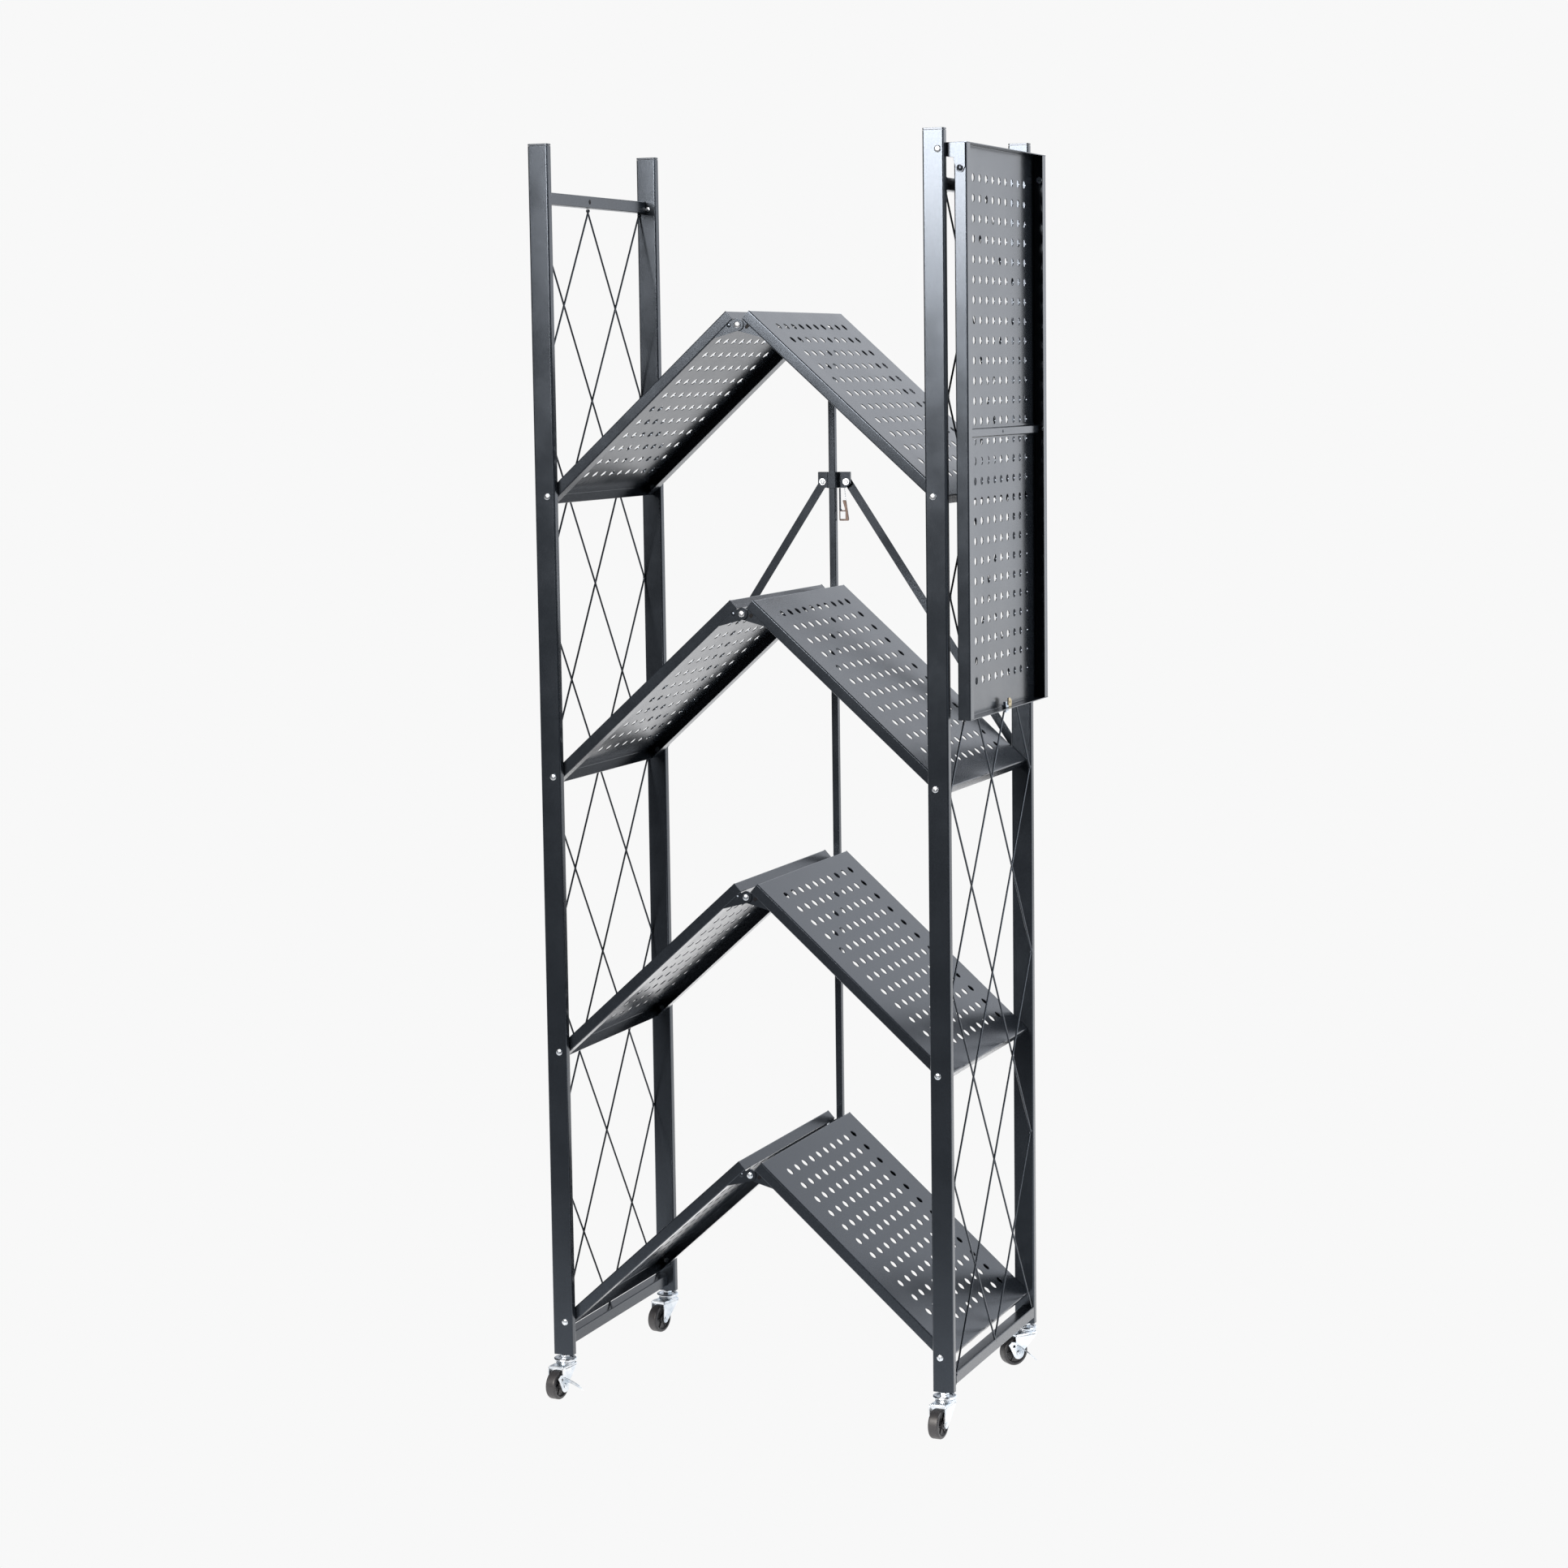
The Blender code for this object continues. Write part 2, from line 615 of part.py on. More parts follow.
def add_top_shelf(paint, zinc, brass):
    """Add the one-piece shelf that hangs outside the right frame, and its fittings."""
    sheet_in = TOP_PIVOT_X + TOP_SHEET_OFFSET
    sheet_out = sheet_in + SHEET
    rim = sheet_in + TOP_FLANGE
    z1 = TOP_PIVOT_Z + TOP_OVERHANG
    z0 = z1 - TOP_LENGTH
    first = -COLUMN_PITCH * (HOLE_COLUMNS - 1) / 2
    holes = [
        circle(
            first + COLUMN_PITCH * column, z1 - TOP_FIRST_ROW - TOP_ROW_PITCH * row,
            HOLE_RADIUS, HOLE_SIDES,
        )
        for row in range(TOP_HOLE_ROWS)
        for column in range(HOLE_COLUMNS)
    ]
    panel = prism(rectangle(-TOP_HALF, TOP_HALF, z0, z1), sheet_in, sheet_out, "YZ", holes)
    bolt_x = TOP_PIVOT_X + BRACKET_BOLT_OUT
    bolt_z = TOP_PIVOT_Z - BRACKET_BOLT_DROP
    solids = []
    for side in (-1, 1):
        outer = side * TOP_HALF
        inner = side * (TOP_HALF - SHEET)
        bolt_hole = circle(bolt_x, bolt_z, RIVET_RADIUS + GAP, ROUND_SIDES)
        solids.append(prism(
            rectangle(sheet_in, rim, z0, z1), min(outer, inner), max(outer, inner), "XZ",
            [bolt_hole],
        ))
        edge = side * (TOP_HALF - TOP_LIP)
        solids.append(block(rim - SHEET, rim, min(outer, edge), max(outer, edge), z0, z1))
    latch_x = sheet_in + TOP_FLANGE * 0.55
    for z, hole in ((z1 - SHEET, None), (z0, (latch_x, 0))):
        outline = rectangle(sheet_in, rim, -TOP_HALF, TOP_HALF)
        openings = [circle(*hole, RIVET_RADIUS + GAP, ROUND_SIDES)] if hole else []
        solids.append(prism(outline, z, z + SHEET, "XY", openings))
    pivot = (TOP_PIVOT_X, 0, TOP_PIVOT_Z)
    add_piece("top_shelf", join(panel, *solids), paint, pivot)

    middle = (z0 + z1) / 2
    reach = TOP_HALF - SHEET - GAP
    half = STIFFENER_HEIGHT / 2
    channel_out = sheet_out + GAP + STIFFENER_DEPTH
    channel = [
        (sheet_out + GAP, middle - half - 0.004),
        (sheet_out + GAP + SHEET, middle - half - 0.004),
        (sheet_out + GAP + SHEET, middle - half + SHEET * 0.4),
        (channel_out - SHEET, middle - half + SHEET),
        (channel_out - SHEET, middle + half - SHEET),
        (sheet_out + GAP + SHEET, middle + half - SHEET * 0.4),
        (sheet_out + GAP + SHEET, middle + half + 0.004),
        (sheet_out + GAP, middle + half + 0.004),
        (sheet_out + GAP, middle + half - SHEET * 1.6),
        (channel_out - SHEET * 2, middle + half - SHEET * 2),
        (channel_out - SHEET * 2, middle - half + SHEET * 2),
        (sheet_out + GAP, middle - half + SHEET * 1.6),
    ]
    bar = prism(channel, -reach, reach, "XZ")
    add_piece("top_shelf_stiffener", bar, paint, (sheet_out, 0, middle))

    for place, side in (("front", -1), ("rear", 1)):
        near = side * (POST_INNER - GAP)
        far = near - side * BRACKET_THICKNESS
        px = TOP_PIVOT_X
        pz = TOP_PIVOT_Z
        arc = [
            (
                px + BRACKET_RADIUS * math.cos(math.radians(angle)),
                pz + BRACKET_RADIUS * math.sin(math.radians(angle)),
            )
            for angle in range(50, 261, 30)
        ]
        outline = [
            *arc,
            (bolt_x - 0.005, bolt_z - 0.0035),
            (bolt_x + 0.005, bolt_z - 0.0045),
            (bolt_x + 0.0065, bolt_z + 0.002),
            (bolt_x + 0.0065, pz + 0.002),
        ]
        plate = prism(
            outline, min(near, far), max(near, far), "XZ",
            [circle(px, pz, PIN_RADIUS + GAP, ROUND_SIDES)],
        )
        flange_in = TOP_HALF - SHEET - GAP
        bolt = stud(bolt_x, bolt_z, side, [
            (PIN_HEAD_RADIUS, flange_in - PIN_HEAD_THICKNESS),
            (PIN_HEAD_RADIUS, flange_in),
            (RIVET_RADIUS, flange_in),
            (RIVET_RADIUS, POST_INNER - GAP - BRACKET_THICKNESS / 2),
        ])
        add_piece(f"{place}_pivot_bracket", join(plate, bolt), paint, (px, near, pz))

    nut = 0.0045
    profile = [
        (0.0, 0.0085), (RIVET_RADIUS, 0.0085), (RIVET_RADIUS, SHEET + GAP + 0.003),
        (nut, SHEET + GAP + 0.003), (nut, SHEET + GAP), (RIVET_RADIUS, SHEET + GAP),
        (RIVET_RADIUS, -GAP), (nut, -GAP), (nut, -GAP - 0.003), (RIVET_RADIUS, -GAP - 0.003),
        (RIVET_RADIUS, -0.005), (0.0, -0.005),
    ]
    add_piece("latch_bolt", turned(profile, 6, "Z", (latch_x, 0, z0)), zinc, (latch_x, 0, z0))
    hook = [
        (0.0095, z0 + SHEET + GAP), (0.0215, z0 + SHEET + GAP),
        (0.0215, z0 + 0.009), (0.0165, z0 + 0.0125), (0.0095, z0 + 0.0125),
    ]
    plate = prism(hook, latch_x, latch_x + 0.0015, "YZ")
    add_piece("latch_hook", plate, brass, (latch_x, 0.0155, z0))


def add_guide_bar(paint):
    """Add the square tube that hangs on the rear hinge pins."""
    top = PIVOT_Z[0] + PIN_RISE + BAR_END
    bottom = PIVOT_Z[-1] + PIN_RISE - BAR_END
    y = (BAR_FRONT + BAR_BACK) / 2
    tube = post_section(0, y, BAR_SIZE, BAR_SIZE, BAR_WALL, bottom, top)
    drills = [
        turned(
            [(0.0, BAR_FRONT - 0.002), (PIN_RADIUS + GAP, BAR_FRONT - 0.002),
             (PIN_RADIUS + GAP, BAR_BACK + 0.002), (0.0, BAR_BACK + 0.002)],
            ROUND_SIDES, "Y", (0, 0, z + PIN_RISE),
        )
        for z in PIVOT_Z
    ]
    origin = (0, y, PIVOT_Z[0] + PIN_RISE)
    add_piece("guide_bar", cut(tube, *drills), paint, origin)


def add_brace(paint, zinc, spring_steel):
    """Add the collar on the guide bar, its bolts, the two arms and the trigger."""
    half = COLLAR_HEIGHT / 2
    width = COLLAR_WIDTH / 2
    wings = prism(
        [
            (-width, COLLAR_Z + half), (-width, COLLAR_Z - half * 0.45),
            (-width + 0.007, COLLAR_Z - half), (width - 0.007, COLLAR_Z - half),
            (width, COLLAR_Z - half * 0.45), (width, COLLAR_Z + half),
        ],
        WING_FRONT, WING_BACK, "XZ",
        [
            circle(
                hand * COLLAR_BOLT_SPREAD, COLLAR_Z - COLLAR_BOLT_DROP, PIN_RADIUS + GAP,
                ROUND_SIDES,
            )
            for hand in (-1, 1)
        ],
    )
    wall = SLEEVE_WALL
    inner_x = BAR_SIZE / 2 + COLLAR_CLEARANCE
    front = BAR_FRONT - COLLAR_CLEARANCE
    sleeve = prism(
        rectangle(-inner_x - wall, inner_x + wall, front - wall, WING_BACK),
        COLLAR_Z - half, COLLAR_Z + half, "XY",
        [rectangle(-inner_x, inner_x, front, WING_FRONT)],
    )
    lip = block(
        width - COLLAR_PLATE, width, WING_FRONT - 0.003, WING_BACK,
        COLLAR_Z - half * 0.4, COLLAR_Z + half,
    )
    y = (BAR_FRONT + BAR_BACK) / 2
    add_piece("brace_collar", join(wings, sleeve, lip), paint, (0, y, COLLAR_Z))

    bolt_z = COLLAR_Z - COLLAR_BOLT_DROP
    for name, hand in (("left", -1), ("right", 1)):
        x = hand * COLLAR_BOLT_SPREAD
        head = WING_FRONT - GAP
        tail = WING_BACK + GAP
        profile = [
            (0.0, head - 0.0022), (0.003, head - 0.0022), (0.005, head - 0.0010), (0.005, head),
            (PIN_RADIUS, head), (PIN_RADIUS, tail), (PIN_HEAD_RADIUS, tail),
            (PIN_HEAD_RADIUS, LEFT_ARM_FRONT - GAP), (0.0, LEFT_ARM_FRONT - GAP),
        ]
        bolt = turned(profile, ROUND_SIDES, "Y", (x, 0, bolt_z))
        add_piece(f"{name}_collar_bolt", bolt, zinc, (x, WING_FRONT, bolt_z))

        front = LEFT_ARM_FRONT if hand < 0 else RIGHT_ARM_FRONT
        radius = ARM_WIDTH / 2
        outline = [
            (radius * math.cos(math.radians(a)), radius * math.sin(math.radians(a)))
            for a in range(90, 271, 30)
        ] + [
            (ARM_LENGTH + radius * math.cos(math.radians(a)), radius * math.sin(math.radians(a)))
            for a in range(-90, 91, 30)
        ]
        holes = [
            circle(0, 0, RIVET_RADIUS + RIVET_CLEARANCE, ROUND_SIDES),
            circle(ARM_LENGTH, 0, RIVET_RADIUS, 8),
        ]
        strip = prism(outline, 0.0, ARM_THICKNESS, "XZ", holes)
        angle = -ARM_ANGLE if hand < 0 else ARM_ANGLE - math.pi
        bmesh.ops.rotate(
            strip, cent=(0, 0, 0), matrix=Matrix.Rotation(angle, 3, "Y"), verts=list(strip.verts)
        )
        origin = Vector((hand * PIVOT_X, front, PIVOT_Z[1]))
        bmesh.ops.translate(strip, vec=origin, verts=list(strip.verts))
        add_piece(f"{name}_brace_arm", strip, paint, origin)

    top = COLLAR_Z - half - GAP
    outer = [
        (0.0065, top), (0.0215, top), (0.0185, top - TRIGGER_LENGTH),
        (0.0095, top - TRIGGER_LENGTH),
    ]
    t = TRIGGER_STRIP
    hole = [
        (0.0065 + t, top - t), (0.0215 - t, top - t),
        (0.0185 - t, top - TRIGGER_LENGTH + t), (0.0095 + t, top - TRIGGER_LENGTH + t),
    ]
    loop = prism(outer, WING_FRONT, WING_BACK, "XZ", [hole])
    hinge = (0.014, (WING_FRONT + WING_BACK) / 2, top - 0.0008)
    add_piece("latch_trigger", loop, spring_steel, hinge)


def stem_solid():
    """Return the plug, neck and race plate under a post, about the swivel axis."""
    half_w = POST_WIDTH / 2 - POST_WALL - GAP
    half_d = POST_DEPTH / 2 - POST_WALL - GAP
    plug = block(
        -half_w, half_w, -half_d, half_d, CASTER_HEIGHT + 0.0005, CASTER_HEIGHT + 0.014
    )
    low = RACE_TOP - RACE_THICKNESS
    profile = [
        (0.0, low), (RACE_RADIUS - 0.003, low), (RACE_RADIUS, low + 0.0012),
        (RACE_RADIUS, low + 0.0026), (RACE_RADIUS - 0.002, RACE_TOP), (0.0062, RACE_TOP),
        (0.0044, RACE_TOP + 0.0008), (0.0044, CASTER_HEIGHT + 0.002),
        (0.0, CASTER_HEIGHT + 0.002),
    ]
    return join(plug, turned(profile, 12, "Z", (0, 0, 0)))


def fork_solid(braked):
    """Return a caster's fork with its axle, about the swivel axis and trailing along +X."""
    half = FORK_HALF_WIDTH
    ax = CASTER_TRAIL
    az = WHEEL_RADIUS
    crown_low = CROWN_TOP - CROWN_THICKNESS
    ring = turned(
        [(0.0, CROWN_TOP - 0.001), (0.0115, CROWN_TOP - 0.001),
         (0.0115, RACE_TOP - RACE_THICKNESS - GAP), (0.0, RACE_TOP - RACE_THICKNESS - GAP)],
        12, "Z", (0, 0, 0),
    )
    crown = prism(
        [
            (-0.0120, -half * 0.8), (-0.0090, -half), (0.0235, -half),
            (0.0235, half), (-0.0090, half), (-0.0120, half * 0.8),
        ],
        crown_low, CROWN_TOP, "XY",
    )
    foot = [
        (
            ax + 0.0050 * math.cos(math.radians(a)),
            az + 0.0050 * math.sin(math.radians(a)),
        )
        for a in range(210, 391, 30)
    ]
    outline = [
        (-0.0088, CROWN_TOP - 0.0004), (-0.0088, 0.0385), *foot, (0.0232, CROWN_TOP - 0.0004)
    ]
    solids = [crown, ring]
    for low, high in ((-half, -half + FORK_PLATE), (half - FORK_PLATE, half)):
        solids.append(prism(outline, low, high, "XZ"))
    near = half + (GAP + LEVER_THICKNESS + GAP if braked else 0.0)
    cap_start = near if braked else half - 0.0004
    axle = [
        (0.0, -half - 0.0015), (0.0036, -half - 0.0012), (0.0036, -half + 0.0004),
        (AXLE_RADIUS, -half + 0.0004), (AXLE_RADIUS, cap_start), (0.0036, cap_start),
        (0.0036, near + 0.0012), (0.0, near + 0.0015),
    ]
    solids.append(turned(axle, ROUND_SIDES, "Y", (ax, 0, az)))
    return join(*solids)


def wheel_solid():
    """Return a wheel with recessed sides and a bore, about its own axle."""
    half = WHEEL_WIDTH / 2
    side = [
        (AXLE_RADIUS + RIVET_CLEARANCE, half + 0.0012), (0.0052, half + 0.0012), (0.0058, half - 0.0022),
        (0.0140, half - 0.0022), (0.0148, half), (0.0174, half), (WHEEL_RADIUS, half - 0.0020),
    ]
    profile = side + [(radius, -along) for radius, along in reversed(side)]
    return turned(profile, WHEEL_SIDES, "Y", (0, 0, 0), closed=True)


def lever_solid():
    """Return a brake lever with its tab, about the axle."""
    near = FORK_HALF_WIDTH + GAP
    arc = [
        (0.0085 * math.cos(math.radians(a)), 0.0085 * math.sin(math.radians(a)))
        for a in range(150, 331, 30)
    ]
    outline = [(0.0105, 0.0155), (0.0060, 0.0145), *arc, (0.0145, 0.0100)]
    square = rectangle(0.0055, 0.0090, 0.0080, 0.0112)
    plate = prism(
        outline, near, near + LEVER_THICKNESS, "XZ",
        [circle(0, 0, AXLE_RADIUS + RIVET_CLEARANCE, ROUND_SIDES), square],
    )
    tab = bmesh.new()
    face = [
        Vector((0.0040, near, 0.0128)), Vector((-0.0066, near, 0.0040)),
        Vector((-0.0185, near + 0.0165, -0.0090)), Vector((-0.0085, near + 0.0165, 0.0005)),
    ]
    normal = (face[1] - face[0]).cross(face[2] - face[0]).normalized()
    under = [corner - normal * LEVER_THICKNESS for corner in face]
    rings = [[tab.verts.new(corner) for corner in loop] for loop in (face, under)]
    tab.faces.new(rings[0])
    tab.faces.new(rings[1])
    for i in range(4):
        j = (i + 1) % 4
        tab.faces.new((rings[0][i], rings[0][j], rings[1][j], rings[1][i]))
    bmesh.ops.recalc_face_normals(tab, faces=list(tab.faces))
    return join(plate, tab)


def add_casters(zinc, tyre):
    """Add the four swivel casters, two of them with a brake lever."""
    wheel_mesh = bpy.data.meshes.new("caster_wheel")
    wheel = finish_mesh(wheel_solid())
    wheel.to_mesh(wheel_mesh)
    wheel.free()
    wheel_mesh.materials.append(tyre)
    for name, heading in HEADINGS.items():
        side = -1 if name.startswith("front") else 1
        hand = -1 if name.endswith("left") else 1
        x = hand * POST_X
        y = side * (HALF_DEPTH - POST_DEPTH / 2)
        stem = stem_solid()
        bmesh.ops.translate(stem, vec=(x, y, 0), verts=list(stem.verts))
        add_piece(f"{name}_stem", stem, zinc, (x, y, CASTER_HEIGHT))

        fork = add_piece(f"{name}_fork", fork_solid(name in BRAKED), zinc)
        fork.location = (x, y, 0)
        fork.rotation_euler = (0, 0, heading)

        axle = (
            x + CASTER_TRAIL * math.cos(heading), y + CASTER_TRAIL * math.sin(heading),
            WHEEL_RADIUS,
        )
        add_copy(f"{name}_wheel", wheel_mesh, axle, turn=heading)
        if name in BRAKED:
            lever = add_piece(f"{name}_brake_lever", lever_solid(), zinc)
            lever.location = axle
            lever.rotation_euler = (0, 0, heading)


def centre_model():
    """Move every piece so that the origin lies under the middle of the rack."""
    bpy.context.view_layer.update()
    corners = [
        item.matrix_world @ vertex.co
        for item in bpy.data.objects
        for vertex in item.data.vertices
    ]
    low = [min(corner[i] for corner in corners) for i in range(3)]
    high = [max(corner[i] for corner in corners) for i in range(3)]
    shift = Vector(((low[0] + high[0]) / 2, (low[1] + high[1]) / 2, low[2]))
    for item in bpy.data.objects:
        item.location -= shift
    bpy.context.view_layer.update()


def main():
    """Build the rack."""
    clear_scene()
    paint = make_material("charcoal_paint", (0.045, 0.050, 0.058), 0.3, 0.45)
    black = make_material("black_plastic", (0.015, 0.015, 0.016), 0.0, 0.5)
    zinc = make_material("zinc_plate", (0.62, 0.66, 0.70), 1.0, 0.3)
    brass = make_material("yellow_zinc", (0.60, 0.47, 0.20), 1.0, 0.35)
    spring_steel = make_material("spring_steel", (0.22, 0.17, 0.13), 0.8, 0.45)
    tyre = make_material("tyre_plastic", (0.02, 0.02, 0.022), 0.0, 0.55)
    add_posts(paint, zinc, black)
    add_rails(paint)
    add_lattices(paint)
    add_leaves(paint)
    add_hinge_pins(zinc)
    add_top_shelf(paint, zinc, brass)
    add_guide_bar(paint)
    add_brace(paint, zinc, spring_steel)
    add_casters(zinc, tyre)
    centre_model()


main()
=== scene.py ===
"""Looks of a folding storage rack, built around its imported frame.

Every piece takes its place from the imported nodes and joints, in metres, with +Z up and the
front towards -Y.
"""
from __future__ import annotations

import json
import logging
import math
from dataclasses import dataclass, field
from enum import Enum
from typing import Any, Sequence

import bmesh
import bpy
from mathutils import Matrix, Vector

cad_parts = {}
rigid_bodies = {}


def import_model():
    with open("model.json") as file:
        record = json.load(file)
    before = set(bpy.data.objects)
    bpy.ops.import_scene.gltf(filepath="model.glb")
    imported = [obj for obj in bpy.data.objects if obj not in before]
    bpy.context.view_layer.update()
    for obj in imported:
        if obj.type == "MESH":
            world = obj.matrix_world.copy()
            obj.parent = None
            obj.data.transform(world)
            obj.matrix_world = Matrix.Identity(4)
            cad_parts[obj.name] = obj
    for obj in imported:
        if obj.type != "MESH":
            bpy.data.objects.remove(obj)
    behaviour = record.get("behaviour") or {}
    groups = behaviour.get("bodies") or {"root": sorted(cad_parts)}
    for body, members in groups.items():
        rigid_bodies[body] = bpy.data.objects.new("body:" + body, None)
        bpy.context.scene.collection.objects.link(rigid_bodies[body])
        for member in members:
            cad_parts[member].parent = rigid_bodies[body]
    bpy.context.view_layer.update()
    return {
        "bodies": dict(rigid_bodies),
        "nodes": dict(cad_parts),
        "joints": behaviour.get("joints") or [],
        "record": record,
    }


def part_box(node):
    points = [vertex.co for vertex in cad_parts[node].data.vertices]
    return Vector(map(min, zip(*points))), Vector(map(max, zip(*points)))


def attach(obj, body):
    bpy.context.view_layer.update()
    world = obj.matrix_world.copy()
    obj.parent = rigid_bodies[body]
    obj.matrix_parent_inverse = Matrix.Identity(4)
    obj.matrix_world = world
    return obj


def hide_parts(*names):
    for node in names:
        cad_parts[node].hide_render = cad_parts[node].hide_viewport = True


LOG = logging.getLogger("rack")
# Pixels along a side of the picture
IMAGE_SIDE = 1932
# Radians, more than any limit, so that an open edge stays crisp
OPEN_EDGE_ANGLE = 4.0
# Steps of a rounded edge, in degrees
QUARTER_TURN = (0, 22, 45, 68, 90)

Point = tuple[float, float]
Colour = tuple[float, float, float]
Solid = bmesh.types.BMesh


class Plane(Enum):
    """The plane in which an outline is drawn; it is extruded along the axis left over."""

    XZ = "XZ"
    YZ = "YZ"
    XY = "XY"


class Axis(Enum):
    """The axis about which a profile is turned."""

    X = "X"
    Y = "Y"
    Z = "Z"


class Hand(Enum):
    """Which side frame a piece belongs to, with the sign of its X."""

    LEFT = -1
    RIGHT = 1

    @property
    def word(self) -> str:
        """The hand as node names have it."""
        return self.name.lower()


class Side(Enum):
    """Front or rear, with the sign of its Y."""

    FRONT = -1
    REAR = 1

    @property
    def word(self) -> str:
        """The side as node names have it."""
        return self.name.lower()


class Layer(Enum):
    """Which of the two overlapping ears of a middle hinge a leaf carries."""

    OUTER = 0
    INNER = 1


def spot(plane: Plane, p: float, q: float, depth: float) -> Vector:
    """Return the point at two in-plane coordinates and a depth across the plane.

    Args:
        plane: the plane.
        p: first coordinate in the plane.
        q: second coordinate in the plane.
        depth: coordinate across the plane.

    Returns:
        The point.
    """
    if plane is Plane.XZ:
        return Vector((p, depth, q))
    if plane is Plane.YZ:
        return Vector((depth, p, q))
    return Vector((p, q, depth))


def arc(cx: float, cy: float, radius: float, start: float, stop: float, count: int) -> list[Point]:
    """Return points along an arc about (cx, cy), between two angles in degrees, in equal steps."""
    angles = [math.radians(start + (stop - start) * i / count) for i in range(count + 1)]
    return [(cx + radius * math.cos(a), cy + radius * math.sin(a)) for a in angles]


def circle(cx: float, cy: float, radius: float, sides: int) -> list[Point]:
    """Return the corners of a regular polygon about a centre."""
    return arc(cx, cy, radius, 0.0, 360.0, sides)[:-1]


def rounded(
    x0: float, x1: float, y0: float, y1: float, radius: float, steps: int = 3, inset: float = 0.0,
) -> list[Point]:
    """Return a rectangle with round corners.

    Args:
        x0: lower first coordinate.
        x1: upper first coordinate.
        y0: lower second coordinate.
        y1: upper second coordinate.
        radius: radius of the corners.
        steps: number of steps in each corner.
        inset: how far the rectangle is drawn inside these coordinates.

    Returns:
        The outline.
    """
    left, right = x0 + inset + radius, x1 - inset - radius
    low, high = y0 + inset + radius, y1 - inset - radius
    return [
        *arc(right, high, radius, 0, 90, steps), *arc(left, high, radius, 90, 180, steps),
        *arc(left, low, radius, 180, 270, steps), *arc(right, low, radius, 270, 360, steps),
    ]


def capsule(x0: float, x1: float, radius: float, steps: int = 8) -> list[Point]:
    """Return a long slot shape with round ends, centred on the first axis."""
    return [*arc(x1, 0, radius, -90, 90, steps), *arc(x0, 0, radius, 90, 270, steps)]


def thick_path(points: Sequence[Point], thickness: float) -> list[Point]:
    """Return the outline of a bent sheet.

    Args:
        points: the sheet's outer face, from one edge to the other.
        thickness: thickness of the sheet, laid to the left of the path.

    Returns:
        A closed outline.
    """
    inner = []
    for i, (x, y) in enumerate(points):
        ahead = points[min(i + 1, len(points) - 1)]
        behind = points[max(i - 1, 0)]
        run = Vector((ahead[0] - behind[0], ahead[1] - behind[1])).normalized()
        inner.append((x - run.y * thickness, y + run.x * thickness))
    return [*points, *reversed(inner)]


def extrude(
    outline: Sequence[Point], lo: float, hi: float, plane: Plane,
    holes: Sequence[Sequence[Point]] = (),
) -> Solid:
    """Return an outline with holes, drawn in a plane and extruded across it.

    Args:
        outline: corners of the outer loop.
        lo: start of the extrusion.
        hi: end of the extrusion.
        plane: plane of the outline.
        holes: corners of each hole.

    Returns:
        A closed mesh.
    """
    bm = bmesh.new()
    edges = []
    for loop in (outline, *holes):
        verts = [bm.verts.new(spot(plane, p, q, lo)) for p, q in loop]
        edges += [bm.edges.new((verts[i], verts[i - 1])) for i in range(len(verts))]
    bmesh.ops.triangle_fill(bm, use_beauty=True, use_dissolve=False, edges=edges)
    grown = bmesh.ops.extrude_face_region(bm, geom=list(bm.faces))
    moved = [item for item in grown["geom"] if isinstance(item, bmesh.types.BMVert)]
    bmesh.ops.translate(bm, vec=spot(plane, 0, 0, hi) - spot(plane, 0, 0, lo), verts=moved)
    bmesh.ops.recalc_face_normals(bm, faces=list(bm.faces))
    return bm


def square_tube(
    bounds: Sequence[float], radius: float, bore_radius: float, wall: float,
    lo: float, hi: float, plane: Plane,
) -> Solid:
    """Return a straight tube with a rectangular section.

    Args:
        bounds: lower and upper coordinates of the section, as rounded() takes them.
        radius: radius of the outer corners.
        bore_radius: radius of the inner corners.
        wall: thickness of the wall.
        lo: start of the tube.
        hi: end of the tube.
        plane: plane of the section.

    Returns:
        A closed mesh.
    """
    bore = rounded(*bounds, bore_radius, 2, wall)
    return extrude(rounded(*bounds, radius, 4), lo, hi, plane, [bore])


def bridge(bm: Solid, one: Sequence[Any], two: Sequence[Any]) -> None:
    """Join two rings of vertices with faces.

    Args:
        bm: the mesh that holds them.
        one: the first ring; a ring of one vertex is a point.
        two: the second ring.
    """
    count = max(len(one), len(two))
    for i in range(count):
        j = (i + 1) % count
        if len(one) == 1:
            bm.faces.new((one[0], two[i], two[j]))
        elif len(two) == 1:
            bm.faces.new((one[i], one[j], two[0]))
        else:
            bm.faces.new((one[i], one[j], two[j], two[i]))


def loft(bm: Solid, rings: Sequence[Sequence[Any]]) -> Solid:
    """Join rings of vertices one after the other and close both ends.

    Args:
        bm: the mesh that holds them.
        rings: the rings, all with as many vertices.

    Returns:
        The mesh, now closed.
    """
    for one, two in zip(rings, rings[1:]):
        bridge(bm, one, two)
    bm.faces.new(rings[0])
    bm.faces.new(rings[-1])
    bmesh.ops.recalc_face_normals(bm, faces=list(bm.faces))
    return bm


